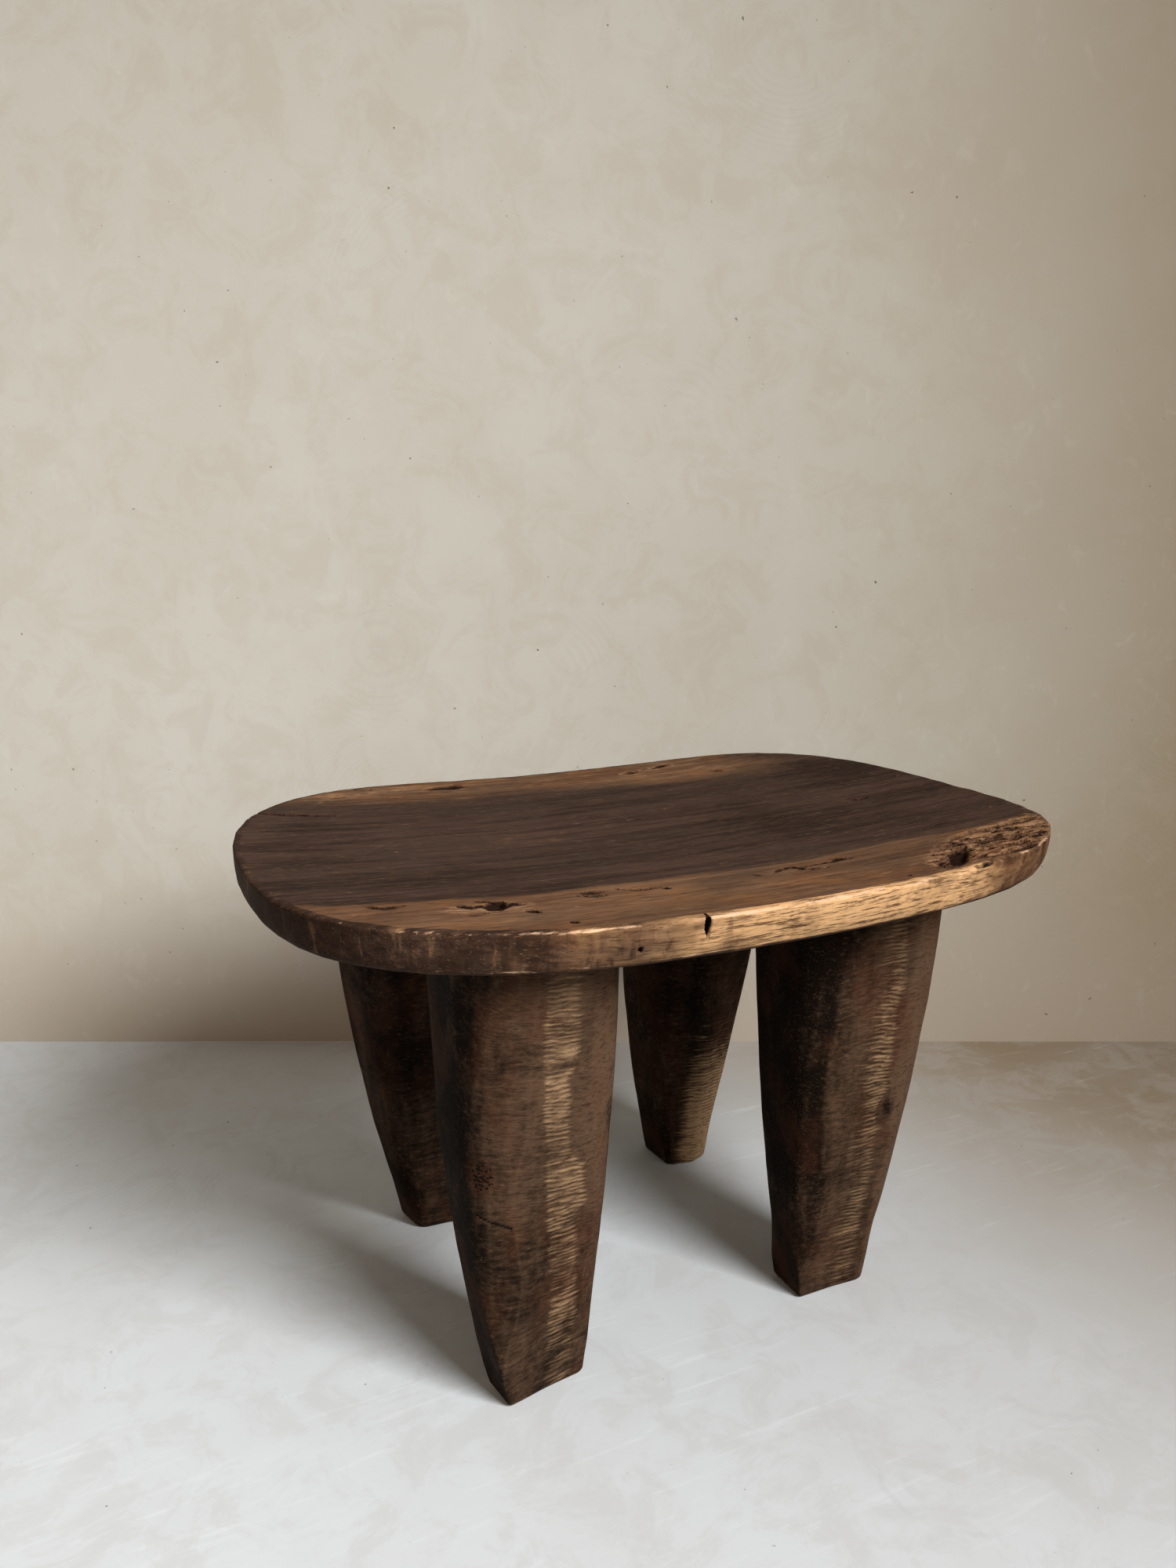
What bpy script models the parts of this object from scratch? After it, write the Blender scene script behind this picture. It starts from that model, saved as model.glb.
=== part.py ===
"""Low carved stool: a dished seat slab on four stout tapered legs.

The real stool is hewn from one block of wood. Here the slab and each leg are
solids of their own, and a leg ends where the wood widens into the slab.

Frame: metres, +Z up, floor at z = 0. X runs along the seat and the grain, Y
across it, and the origin is on the floor under the middle of the seat's box.
"""
import math

import bmesh
import bpy
import numpy as np

# Overall sizes
SEAT_LENGTH = 0.460
SEAT_WIDTH = 0.330
STOOL_HEIGHT = 0.289

# Seat slab: how far the top and the underside climb from the middle to the rim
SEAT_MID_THICKNESS = 0.0146
TOP_RISE_ALONG = 0.0095
TOP_RISE_ACROSS = 0.0055
TOP_TILT_ACROSS = 0.0017
UNDERSIDE_RISE_ALONG = 0.0065

# Seat rim: hewn flats, a rounded-over upper edge and a rim that leans in below
RIM_FLATS = 72
RIM_LEAN_AT_SIDES = 0.0045
RIM_LEAN_AT_ENDS = 0.0000
RIM_SWELL = 0.0007
TOP_EDGE_WEAR = 0.0028
WORN_IN_SHARE = 0.7
WORN_DOWN_SHARE = 0.3
UNDER_EDGE_CHAMFER = 0.0020

# Seat outline: a squared oval with the slow waves that hand hewing leaves.
# Each wave is its count round the seat, then its cosine and sine shares.
SEAT_SQUARENESS = 2.7
SEAT_WAVE_SHARES = (
    (1, -0.005, 0.006),
    (2, 0.083, -0.005),
    (4, -0.019, 0.004),
    (5, -0.005, -0.008),
)
OUTLINE_SAMPLES = 1440

# Where the rings of the slab's two faces lie, as shares of the way to the rim
TOP_RING_SHARES = (0.93, 0.80, 0.60, 0.38, 0.18)
UNDERSIDE_RING_SHARES = (0.25, 0.50, 0.75, 0.92)

# Legs: hewn flats, from a squarish foot to a wide top under the slab
LEG_FLATS = 16
LEG_RING_SHARES = (0.05, 0.12, 0.22, 0.34, 0.47, 0.61, 0.75, 0.88, 1.0)
FOOT_CHAMFER = 0.0018
FRONT_FOOT_SQUARENESS = 5.0
BACK_FOOT_SQUARENESS = 3.0
LEG_TOP_SQUARENESS = 3.3

# Each leg in turn, as pairs along and across the seat. An inset is how far the
# leg's outer face lies inside the seat's outline there. The bellies are those
# of the outer and inner end faces, then of the outer and inner side faces.
FRONT_LEFT_TOP_INSET = (0.0765, 0.0380)
FRONT_LEFT_TOP_SIZE = (0.0905, 0.0890)
FRONT_LEFT_FOOT_INSET = (0.1035, 0.0730)
FRONT_LEFT_FOOT_SIZE = (0.0485, 0.0215)
FRONT_LEFT_BELLY_SHARES = (2.60, 2.30, 1.05, 1.05)
FRONT_LEFT_FOOT_TURN = math.radians(10)

FRONT_RIGHT_TOP_INSET = (0.0765, 0.0535)
FRONT_RIGHT_TOP_SIZE = (0.1055, 0.0845)
FRONT_RIGHT_FOOT_INSET = (0.1175, 0.0775)
FRONT_RIGHT_FOOT_SIZE = (0.0465, 0.0270)
FRONT_RIGHT_BELLY_SHARES = (1.65, 2.50, 1.50, 0.95)
FRONT_RIGHT_FOOT_TURN = math.radians(-1)

BACK_LEFT_TOP_INSET = (0.0670, 0.0415)
BACK_LEFT_TOP_SIZE = (0.1060, 0.0945)
BACK_LEFT_FOOT_INSET = (0.1070, 0.0520)
BACK_LEFT_FOOT_SIZE = (0.0450, 0.0370)
BACK_LEFT_BELLY_SHARES = (1.85, 2.40, 1.60, 0.85)
BACK_LEFT_FOOT_TURN = math.radians(-2)

BACK_RIGHT_TOP_INSET = (0.0885, 0.0390)
BACK_RIGHT_TOP_SIZE = (0.1025, 0.0860)
BACK_RIGHT_FOOT_INSET = (0.1310, 0.0500)
BACK_RIGHT_FOOT_SIZE = (0.0350, 0.0410)
BACK_RIGHT_BELLY_SHARES = (1.65, 2.70, 1.60, 0.75)
BACK_RIGHT_FOOT_TURN = math.radians(6)

# Clearance between a leg's top and the slab, and how far a cutter runs over
JOINT_GAP = 0.0003
CUT_OVERRUN = 0.010

# Hollows where insects and weather have opened the seat's top. Each row is its
# place as shares of half the length and half the width, then its length as a
# share of the seat's length, its width as a share of the seat's width, its
# depth as a share of the slab's middle thickness, and its turn in degrees.
HOLLOW_SHARES = {
    "end_split": (-0.890, 0.716, 0.217, 0.0100, 0.60, -21),
    "corner_pit": (0.530, -0.820, 0.096, 0.0430, 0.36, 24),
    "corner_trench": (0.590, -0.850, 0.080, 0.0180, 0.30, -4),
    "corner_shell": (0.755, -0.830, 0.056, 0.0480, 0.26, 18),
    "corner_groove": (0.860, -0.597, 0.058, 0.0100, 0.18, 6),
    "corner_flake": (0.625, -0.680, 0.062, 0.0180, 0.14, -14),
    "near_pit": (-0.560, -0.630, 0.030, 0.0270, 0.40, 0),
    "near_left_groove": (-0.785, -0.555, 0.044, 0.0110, 0.14, -14),
    "near_flake": (-0.625, -0.685, 0.040, 0.0130, 0.11, -4),
    "near_chip": (-0.340, -0.612, 0.025, 0.0180, 0.17, -25),
    "near_long_groove": (-0.232, -0.607, 0.044, 0.0090, 0.12, -12),
    "near_crack": (0.200, -0.640, 0.115, 0.0100, 0.20, 3),
    "far_left_groove": (-0.310, 0.893, 0.080, 0.0150, 0.18, -6),
    "far_right_groove": (0.425, 0.875, 0.080, 0.0120, 0.14, 5),
    "top_scar": (0.730, 0.057, 0.034, 0.0070, 0.09, 6),
}
HOLLOW_SEGMENTS = 8
HOLLOW_RINGS = 6

# Slit and worm hole in the near side of the rim
SLIT_PLACE_SHARE = -0.218
SLIT_OPENING = 0.0022
SLIT_DEPTH = 0.0050
SLIT_HEIGHT = 0.0120
WORM_HOLE_PLACE_SHARE = -0.360
WORM_HOLE_DIAMETER = 0.0024
WORM_HOLE_DEPTH = 0.0060
WORM_HOLE_HEIGHT_SHARE = 0.40
WORM_HOLE_SIDES = 8

# Finish
SEAT_COLOUR = (0.115, 0.062, 0.034, 1.0)
LEG_COLOUR = (0.075, 0.040, 0.022, 1.0)
WOOD_ROUGHNESS = 0.55
SMOOTH_ANGLE = math.radians(12)

HALF_LENGTH = SEAT_LENGTH / 2
HALF_WIDTH = SEAT_WIDTH / 2


def clear_scene():
    """Remove every object that the file opened with."""
    for item in list(bpy.data.objects):
        bpy.data.objects.remove(item, do_unlink=True)


def new_collection(name):
    """A collection of this name under the scene's own."""
    group = bpy.data.collections.new(name)
    bpy.context.scene.collection.children.link(group)
    return group


def wood(name, colour):
    """A plain wood material."""
    material = bpy.data.materials.new(name)
    material.use_nodes = True
    shader = material.node_tree.nodes["Principled BSDF"]
    shader.inputs["Base Color"].default_value = colour
    shader.inputs["Roughness"].default_value = WOOD_ROUGHNESS
    shader.inputs["Metallic"].default_value = 0.0
    material.diffuse_color = colour
    return material


def squared_oval(angles, squareness):
    """Unit superellipse: cosine and sine with their powers set by squareness."""
    power = 2 / squareness
    cosines = np.cos(angles)
    sines = np.sin(angles)
    x = np.sign(cosines) * np.abs(cosines) ** power
    y = np.sign(sines) * np.abs(sines) ** power
    return np.column_stack((x, y))


def seat_outline():
    """The seat's outline from above, counterclockwise, with flats of even length."""
    angles = np.linspace(0, 2 * math.pi, OUTLINE_SAMPLES + 1)
    swell = np.ones_like(angles)
    for count, cosine_share, sine_share in SEAT_WAVE_SHARES:
        swell += cosine_share * np.cos(count * angles)
        swell += sine_share * np.sin(count * angles)
    points = squared_oval(angles, SEAT_SQUARENESS) * swell[:, None]
    low = points.min(axis=0)
    high = points.max(axis=0)
    points = (points - (low + high) / 2) / (high - low)
    points = points * (SEAT_LENGTH, SEAT_WIDTH)
    steps = np.hypot(*np.diff(points, axis=0).T)
    run = np.concatenate(([0], np.cumsum(steps)))
    stops = np.linspace(0, run[-1], RIM_FLATS, endpoint=False)
    x = np.interp(stops, run, points[:, 0])
    y = np.interp(stops, run, points[:, 1])
    outline = np.column_stack((x, y))
    low = outline.min(axis=0)
    high = outline.max(axis=0)
    outline = (outline - (low + high) / 2) / (high - low)
    return outline * (SEAT_LENGTH, SEAT_WIDTH)


def inset(outline, distance):
    """The outline moved inwards by this distance, square to its own run."""
    along = np.roll(outline, -1, axis=0) - np.roll(outline, 1, axis=0)
    along /= np.hypot(*along.T)[:, None]
    inwards = np.column_stack((-along[:, 1], along[:, 0]))
    return outline + inwards * distance


def rim_lean(outline):
    """How far the rim's foot lies inside the outline: more at the sides."""
    side_share = (outline[:, 1] / HALF_WIDTH) ** 2
    lean = RIM_LEAN_AT_ENDS + (RIM_LEAN_AT_SIDES - RIM_LEAN_AT_ENDS) * side_share
    return lean[:, None]


def top_rise(points):
    """How far the top lies above its middle at these places."""
    x = points[:, 0] / HALF_LENGTH
    y = points[:, 1] / HALF_WIDTH
    return TOP_RISE_ALONG * x**2 + TOP_RISE_ACROSS * y**2 - TOP_TILT_ACROSS * y


def top_middle():
    """Height of the top's middle, which puts its highest rim at STOOL_HEIGHT."""
    crest = inset(seat_outline(), 2 * TOP_EDGE_WEAR)
    return STOOL_HEIGHT - top_rise(crest).max()


def top_height(points):
    """Height of the dished top at these places."""
    return top_middle() + top_rise(points)


def underside_height(points):
    """Height of the slab's underside, which follows the dish along the seat."""
    x = points[:, 0] / HALF_LENGTH
    return top_middle() - SEAT_MID_THICKNESS + UNDERSIDE_RISE_ALONG * x**2


def at_height(points, heights):
    """Points in plan with their heights."""
    return np.column_stack((points, np.broadcast_to(heights, len(points))))


def loft(name, rings, material, group, closed_to_points=False):
    """A closed solid through rings of as many points each, lowest ring first.

    Each end is closed with one face, or with a fan to its ring's middle.
    """
    mesh = bmesh.new()
    loops = [[mesh.verts.new(point) for point in ring] for ring in rings]
    count = len(loops[0])
    for lower, upper in zip(loops, loops[1:]):
        for i in range(count):
            j = (i + 1) % count
            mesh.faces.new((lower[i], lower[j], upper[j], upper[i]))
    if closed_to_points:
        low_hub = mesh.verts.new(np.mean(rings[0], axis=0))
        high_hub = mesh.verts.new(np.mean(rings[-1], axis=0))
        for i in range(count):
            j = (i + 1) % count
            mesh.faces.new((loops[0][j], loops[0][i], low_hub))
            mesh.faces.new((loops[-1][i], loops[-1][j], high_hub))
    else:
        mesh.faces.new(loops[0][::-1])
        mesh.faces.new(loops[-1])
    return finish_mesh(name, mesh, material, group)


def finish_mesh(name, mesh, material, group):
    """Turn a bmesh into a shaded object in its collection."""
    data = bpy.data.meshes.new(name)
    mesh.to_mesh(data)
    mesh.free()
    data.materials.append(material)
    data.shade_smooth()
    data.set_sharp_from_angle(angle=SMOOTH_ANGLE)
    item = bpy.data.objects.new(name, data)
    group.objects.link(item)
    return item


def as_cutter(item):
    """Hide an object that only cuts others."""
    item.hide_render = True
    item.display_type = "WIRE"
    return item


def cut(item, cutter):
    """Take a cutter's shape out of an object."""
    step = item.modifiers.new(cutter.name, "BOOLEAN")
    step.operation = "DIFFERENCE"
    step.solver = "EXACT"
    step.object = cutter


def seat_rings():
    """Rings of the slab: outwards below, up the rim, and inwards on top."""
    edge = seat_outline()
    lean = rim_lean(edge)
    under_edge = inset(edge, lean + UNDER_EDGE_CHAMFER)
    rim_foot = inset(edge, lean)
    rim_middle = inset(edge, np.maximum(lean / 2 - RIM_SWELL, 0))
    crest = inset(edge, 2 * TOP_EDGE_WEAR)
    rings = []
    for share in UNDERSIDE_RING_SHARES:
        ring = under_edge * share
        rings.append(at_height(ring, underside_height(ring)))
    rings.append(at_height(under_edge, underside_height(under_edge)))
    foot_heights = underside_height(rim_foot) + UNDER_EDGE_CHAMFER
    head_heights = top_height(edge) - TOP_EDGE_WEAR
    rings.append(at_height(rim_foot, foot_heights))
    rings.append(at_height(rim_middle, (foot_heights + head_heights) / 2))
    rings.append(at_height(edge, head_heights))
    worn = inset(edge, TOP_EDGE_WEAR * WORN_IN_SHARE)
    rings.append(at_height(worn, top_height(worn) - TOP_EDGE_WEAR * WORN_DOWN_SHARE))
    rings.append(at_height(crest, top_height(crest)))
    for share in TOP_RING_SHARES:
        ring = crest * share
        rings.append(at_height(ring, top_height(ring)))
    return rings


def hollow_cutter(name, shares, group, material):
    """A lens-shaped body sunk to half its height in the seat's top."""
    x_share, y_share, length_share, width_share, depth_share, turn = shares
    place = np.array([[x_share * HALF_LENGTH, y_share * HALF_WIDTH]])
    size = (
        length_share * SEAT_LENGTH / 2,
        width_share * SEAT_WIDTH / 2,
        depth_share * SEAT_MID_THICKNESS,
    )
    mesh = bmesh.new()
    bmesh.ops.create_uvsphere(mesh, u_segments=HOLLOW_SEGMENTS, v_segments=HOLLOW_RINGS, radius=1)
    bmesh.ops.scale(mesh, vec=size, verts=mesh.verts)
    item = as_cutter(finish_mesh(name, mesh, material, group))
    item.location = (*place[0], float(top_height(place)[0]))
    item.rotation_euler = (0, 0, math.radians(turn))
    return item


def near_rim(x):
    """Y of the rim's upper edge on the near side, at this place along the seat."""
    edge = seat_outline()
    near = edge[edge[:, 1] < 0]
    near = near[np.argsort(near[:, 0])]
    return float(np.interp(x, near[:, 0], near[:, 1]))


def slit_cutter(group, material):
    """A tall thin lens across the upper half of the near rim."""
    x = SLIT_PLACE_SHARE * HALF_LENGTH
    y = near_rim(x)
    crest = float(top_height(np.array([[x, y]]))[0])
    mesh = bmesh.new()
    bmesh.ops.create_uvsphere(mesh, u_segments=HOLLOW_SEGMENTS, v_segments=HOLLOW_RINGS, radius=1)
    bmesh.ops.scale(mesh, vec=(SLIT_OPENING / 2, SLIT_DEPTH, SLIT_HEIGHT / 2), verts=mesh.verts)
    item = as_cutter(finish_mesh("rim_slit", mesh, material, group))
    item.location = (x, y, crest - SLIT_HEIGHT / 3)
    return item


def worm_hole_cutter(group, material):
    """A small bore square into the near rim."""
    x = WORM_HOLE_PLACE_SHARE * HALF_LENGTH
    y = near_rim(x)
    place = np.array([[x, y]])
    low = float(underside_height(place)[0])
    high = float(top_height(place)[0])
    radius = WORM_HOLE_DIAMETER / 2
    length = WORM_HOLE_DEPTH + CUT_OVERRUN
    mesh = bmesh.new()
    bmesh.ops.create_cone(
        mesh, cap_ends=True, segments=WORM_HOLE_SIDES, radius1=radius, radius2=radius, depth=length
    )
    item = as_cutter(finish_mesh("worm_hole", mesh, material, group))
    item.rotation_euler = (math.pi / 2, 0, 0)
    height = low + (high - low) * WORM_HOLE_HEIGHT_SHARE
    item.location = (x, y + WORM_HOLE_DEPTH - length / 2, height)
    return item


def make_seat(group, cutters, material):
    """The dished slab with its split, eroded hollows, slit and worm hole."""
    seat = loft("seat", seat_rings(), material, group, closed_to_points=True)
    for name, shares in HOLLOW_SHARES.items():
        cut(seat, hollow_cutter(name, shares, cutters, material))
    cut(seat, slit_cutter(cutters, material))
    cut(seat, worm_hole_cutter(cutters, material))
    return seat


def underside_cutter(group, material):
    """A block whose lower face is the slab's underside, lowered by the joint gap."""
    edge = seat_outline()
    under_edge = inset(edge, rim_lean(edge) + UNDER_EDGE_CHAMFER)
    rings = []
    for share in UNDERSIDE_RING_SHARES:
        ring = under_edge * share
        rings.append(at_height(ring, underside_height(ring) - JOINT_GAP))
    rings.append(at_height(under_edge, underside_height(under_edge) - JOINT_GAP))
    rings.append(at_height(under_edge, STOOL_HEIGHT + CUT_OVERRUN))
    for share in UNDERSIDE_RING_SHARES[::-1]:
        rings.append(at_height(under_edge * share, STOOL_HEIGHT + CUT_OVERRUN))
    return as_cutter(loft("underside", rings, material, group, closed_to_points=True))


def bellied(foot, top, share, belly):
    """Distance of a leg's face from the middle, at this share of the height.

    It runs from the foot to the top. A belly over 1 swells it low down, and
    one under 1 holds it back until just below the slab.
    """
    return foot + (top - foot) * (1 - (1 - share) ** belly)


def leg_faces(leg, axis, share):
    """Distances of a leg's outer and inner faces from the middle, on one axis."""
    reach = (HALF_LENGTH, HALF_WIDTH)[axis]
    foot_outer = reach - leg["foot_inset"][axis]
    top_outer = reach - leg["top_inset"][axis]
    foot_inner = foot_outer - leg["foot_size"][axis]
    top_inner = top_outer - leg["top_size"][axis]
    outer_belly, inner_belly = leg["belly_shares"][2 * axis : 2 * axis + 2]
    outer = bellied(foot_outer, top_outer, share, outer_belly)
    inner = bellied(foot_inner, top_inner, share, inner_belly)
    return outer, inner


def leg_section(leg, share):
    """One section of a leg in plan, counterclockwise."""
    outer_x, inner_x = leg_faces(leg, 0, share)
    outer_y, inner_y = leg_faces(leg, 1, share)
    squareness = leg["squareness"] + (LEG_TOP_SQUARENESS - leg["squareness"]) * math.sqrt(share)
    angles = (np.arange(LEG_FLATS) + 0.5) * 2 * math.pi / LEG_FLATS
    section = squared_oval(angles, squareness)
    section *= ((outer_x - inner_x) / 2, (outer_y - inner_y) / 2)
    turn = leg["turn"] * (1 - share) ** 2
    cosine, sine = math.cos(turn), math.sin(turn)
    section = section @ np.array([[cosine, sine], [-sine, cosine]])
    middle = (leg["x_side"] * (outer_x + inner_x) / 2, leg["y_side"] * (outer_y + inner_y) / 2)
    return section + middle


def make_leg(leg, group, cutter, material):
    """A tapered hewn leg that stands on its foot and is cut to the underside."""
    foot = leg_section(leg, 0)
    full_height = float(underside_height(np.array([[HALF_LENGTH, 0]]))[0]) + CUT_OVERRUN / 2
    origin = foot.mean(axis=0)
    rings = [at_height(inset(foot, FOOT_CHAMFER), 0)]
    rings.append(at_height(leg_section(leg, FOOT_CHAMFER / full_height), FOOT_CHAMFER))
    for share in LEG_RING_SHARES:
        rings.append(at_height(leg_section(leg, share), share * full_height))
    rings = [ring - (*origin, 0) for ring in rings]
    item = loft(leg["name"], rings, material, group)
    item.location = (*origin, 0)
    cut(item, cutter)
    return item


def leg_table():
    """The four legs, each with its side of the stool and its own hewn sizes."""
    return (
        {
            "name": "leg_front_left",
            "x_side": -1,
            "y_side": -1,
            "top_inset": FRONT_LEFT_TOP_INSET,
            "top_size": FRONT_LEFT_TOP_SIZE,
            "foot_inset": FRONT_LEFT_FOOT_INSET,
            "foot_size": FRONT_LEFT_FOOT_SIZE,
            "belly_shares": FRONT_LEFT_BELLY_SHARES,
            "turn": FRONT_LEFT_FOOT_TURN,
            "squareness": FRONT_FOOT_SQUARENESS,
        },
        {
            "name": "leg_front_right",
            "x_side": 1,
            "y_side": -1,
            "top_inset": FRONT_RIGHT_TOP_INSET,
            "top_size": FRONT_RIGHT_TOP_SIZE,
            "foot_inset": FRONT_RIGHT_FOOT_INSET,
            "foot_size": FRONT_RIGHT_FOOT_SIZE,
            "belly_shares": FRONT_RIGHT_BELLY_SHARES,
            "turn": FRONT_RIGHT_FOOT_TURN,
            "squareness": FRONT_FOOT_SQUARENESS,
        },
        {
            "name": "leg_back_left",
            "x_side": -1,
            "y_side": 1,
            "top_inset": BACK_LEFT_TOP_INSET,
            "top_size": BACK_LEFT_TOP_SIZE,
            "foot_inset": BACK_LEFT_FOOT_INSET,
            "foot_size": BACK_LEFT_FOOT_SIZE,
            "belly_shares": BACK_LEFT_BELLY_SHARES,
            "turn": BACK_LEFT_FOOT_TURN,
            "squareness": BACK_FOOT_SQUARENESS,
        },
        {
            "name": "leg_back_right",
            "x_side": 1,
            "y_side": 1,
            "top_inset": BACK_RIGHT_TOP_INSET,
            "top_size": BACK_RIGHT_TOP_SIZE,
            "foot_inset": BACK_RIGHT_FOOT_INSET,
            "foot_size": BACK_RIGHT_FOOT_SIZE,
            "belly_shares": BACK_RIGHT_BELLY_SHARES,
            "turn": BACK_RIGHT_FOOT_TURN,
            "squareness": BACK_FOOT_SQUARENESS,
        },
    )


def main():
    """Build the stool's five solids under one empty."""
    clear_scene()
    parts = new_collection("senufo_stool")
    cutters = new_collection("cutters")
    stool = bpy.data.objects.new("stool_origin", None)
    parts.objects.link(stool)
    seat_wood = wood("seat_wood", SEAT_COLOUR)
    leg_wood = wood("leg_wood", LEG_COLOUR)
    seat = make_seat(parts, cutters, seat_wood)
    seat.parent = stool
    cutter = underside_cutter(cutters, leg_wood)
    for leg in leg_table():
        item = make_leg(leg, parts, cutter, leg_wood)
        item.parent = stool


main()
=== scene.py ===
import math
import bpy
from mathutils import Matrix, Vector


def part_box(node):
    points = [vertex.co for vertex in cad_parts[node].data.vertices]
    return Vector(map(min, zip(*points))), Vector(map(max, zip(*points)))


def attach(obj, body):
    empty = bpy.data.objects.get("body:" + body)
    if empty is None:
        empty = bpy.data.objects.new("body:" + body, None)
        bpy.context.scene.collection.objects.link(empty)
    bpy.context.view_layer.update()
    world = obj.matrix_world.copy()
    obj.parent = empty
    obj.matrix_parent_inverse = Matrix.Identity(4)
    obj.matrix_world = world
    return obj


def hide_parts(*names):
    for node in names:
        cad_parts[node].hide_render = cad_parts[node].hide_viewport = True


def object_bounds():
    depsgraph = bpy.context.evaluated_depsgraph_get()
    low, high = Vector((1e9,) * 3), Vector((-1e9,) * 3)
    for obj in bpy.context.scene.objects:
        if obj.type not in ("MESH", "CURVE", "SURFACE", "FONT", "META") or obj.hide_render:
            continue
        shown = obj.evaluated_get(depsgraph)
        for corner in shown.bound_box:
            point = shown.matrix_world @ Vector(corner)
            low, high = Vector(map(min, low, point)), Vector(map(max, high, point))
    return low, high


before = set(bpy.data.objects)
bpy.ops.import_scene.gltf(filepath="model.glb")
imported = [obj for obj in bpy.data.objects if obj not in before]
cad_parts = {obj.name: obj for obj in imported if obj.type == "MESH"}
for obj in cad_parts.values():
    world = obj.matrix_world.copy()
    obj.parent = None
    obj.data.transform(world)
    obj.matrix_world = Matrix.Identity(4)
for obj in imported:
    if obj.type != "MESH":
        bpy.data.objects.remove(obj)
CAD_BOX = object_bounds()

from types import SimpleNamespace

import bpy
import numpy as np
from bpy.props import FloatProperty, FloatVectorProperty, IntProperty, PointerProperty
from mathutils import Vector

bl_info = {
    "name": "Carved stool",
    "version": (1, 0, 0),
    "blender": (4, 5, 0),
    "location": "3D View > Sidebar > Stool",
    "description": "A low stool hewn from one block: dished seat, four tapered legs, floor and light",
    "category": "Object",
}

MILLIMETRE = 0.001
LEAST_RISE = 1e-9

# Light and camera, in metres and radians
KEY_SPOT = (0.490, -1.760, 1.62)
KEY_TARGET = (-0.72, 0.00, 0.14)
KEY_SPREAD = math.radians(70)
CAMERA_SPOT = (-0.3133, -0.5973, 0.4621)
CAMERA_PITCH = 0.2258
CAMERA_YAW = 0.4383
CAMERA_LENS = 27.04
CAMERA_SENSOR = 36
KEY_COLOUR = (1.0, 0.985, 0.96)
ROOM_COLOUR = (1.0, 0.78, 0.58, 1.0)
ROOM_STRENGTH = 0.34

# Floor and backdrop: their sizes in metres, then their far colour of painted shade, their dim
# colour of clouds and painted shade, how strong the trowel's marks are, and where their painted shade
# turns far and dim
FLOOR_Z = -0.0002
FLOOR_REACH = 4.0
FLOOR_LOOK = (
    (0.27, 0.215, 0.15), (0.42, 0.42, 0.42), 0.24, (0.9, 1.0, 0.02, 0.62), (-1.0, -2.0, 0.0),
)
WALL_REACH = 2.2
WALL_HEIGHT = 2.6
WALL_LOOK = (
    (0.31, 0.235, 0.130), (0.45, 0.392, 0.325), 0.13, (1.0, 0.0, 0.02, 0.70), (0.24, 0.0, 0.85),
)

# The seat's outline: a squared oval with slow waves, each with its count
# round the seat and its cosine and sine shares.
SEAT_SQUARENESS = 2.7
SEAT_WAVES = (
    (1, -0.005, 0.006),
    (2, 0.083, -0.005),
    (4, -0.019, 0.004),
    (5, -0.005, -0.008),
)
OUTLINE_SAMPLES = 14400

# The dish of the seat, from the middle out to the rim
SEAT_MID_THICKNESS = 0.0146
TOP_RISE_ALONG = 0.0095
TOP_RISE_ACROSS = 0.0055
TOP_TILT_ACROSS = 0.0017
UNDERSIDE_RISE_ALONG = 0.0065
RIM_LEAN_AT_SIDES = 0.0045
RIM_SWELL = 0.0007
# The rounded upper edge reaches this many times further in than down.
EDGE_REACH = 1.7
UNDER_EDGE_INSET = 0.0022
UNDER_EDGE_HEIGHT = 0.0020
UNDER_EDGE_CHAMFER = 0.0006
UNDER_EDGE_RAGGED = 0.00055
SURFACE_INSET = 0.0002
TOP_BELOW_FRAME = 0.00025
LEAST_BELOW_BOX = 0.0001

# The hewn flats of the rim: how uneven their widths are, how far askew their
# ends run as a share of a flat, how light their wood is, and how much flatter
# than the outline they are
FLAT_WIDTH_SHARES = (0.55, 1.5)
FLAT_SLANT_SHARE = 0.2
FLAT_SHADES = (0.3, 0.7)
RIM_FLATNESS = 0.85

# Steps round the rim, finer along the near side and at the cuts. Each fine spot
# is its place in plan, its reach and its share of the usual step.
RIM_STEP = 0.00365
SPACING_SAMPLES = 20000
LOOK_AHEAD = 0.0004
NEAR_STRETCH = ((-0.200, -0.090), (0.205, -0.090))
NEAR_STEP_SHARE = 0.36
FINE_SPOTS = (
    ((-0.0500, -0.164), 0.004, 0.15),
    ((-0.0828, -0.164), 0.003, 0.15),
    ((-0.2065, 0.1135), 0.008, 0.18),
)

# The seat's parts, from its lowest ring to its highest
PARTS = ("under", "rim", "edge", "top")
SIDE_PARTS = ("rim", "edge")

# Rings of the seat: shares of the way out below, of the height of the rim, of
# the quarter turn over the upper edge, and of the way out above. The edge's
# rings face upwards more and more.
UNDERSIDE_SHARES = (0.0012, 0.12, 0.25, 0.38, 0.5, 0.61, 0.71, 0.80, 0.88, 0.94, 0.98, 1.0)
RIM_SHARES = np.linspace(0, 1, 22)
EDGE_SHARES = (0.12, 0.27, 0.43, 0.60, 0.78, 1.0)
EDGE_UPWARD = (0.1, 0.25, 0.45, 0.7, 0.9, 1.0)
TOP_SHARES = np.concatenate((np.linspace(1, 0.55, 88)[1:], np.linspace(0.55, 0.0012, 19)[1:]))

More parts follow.
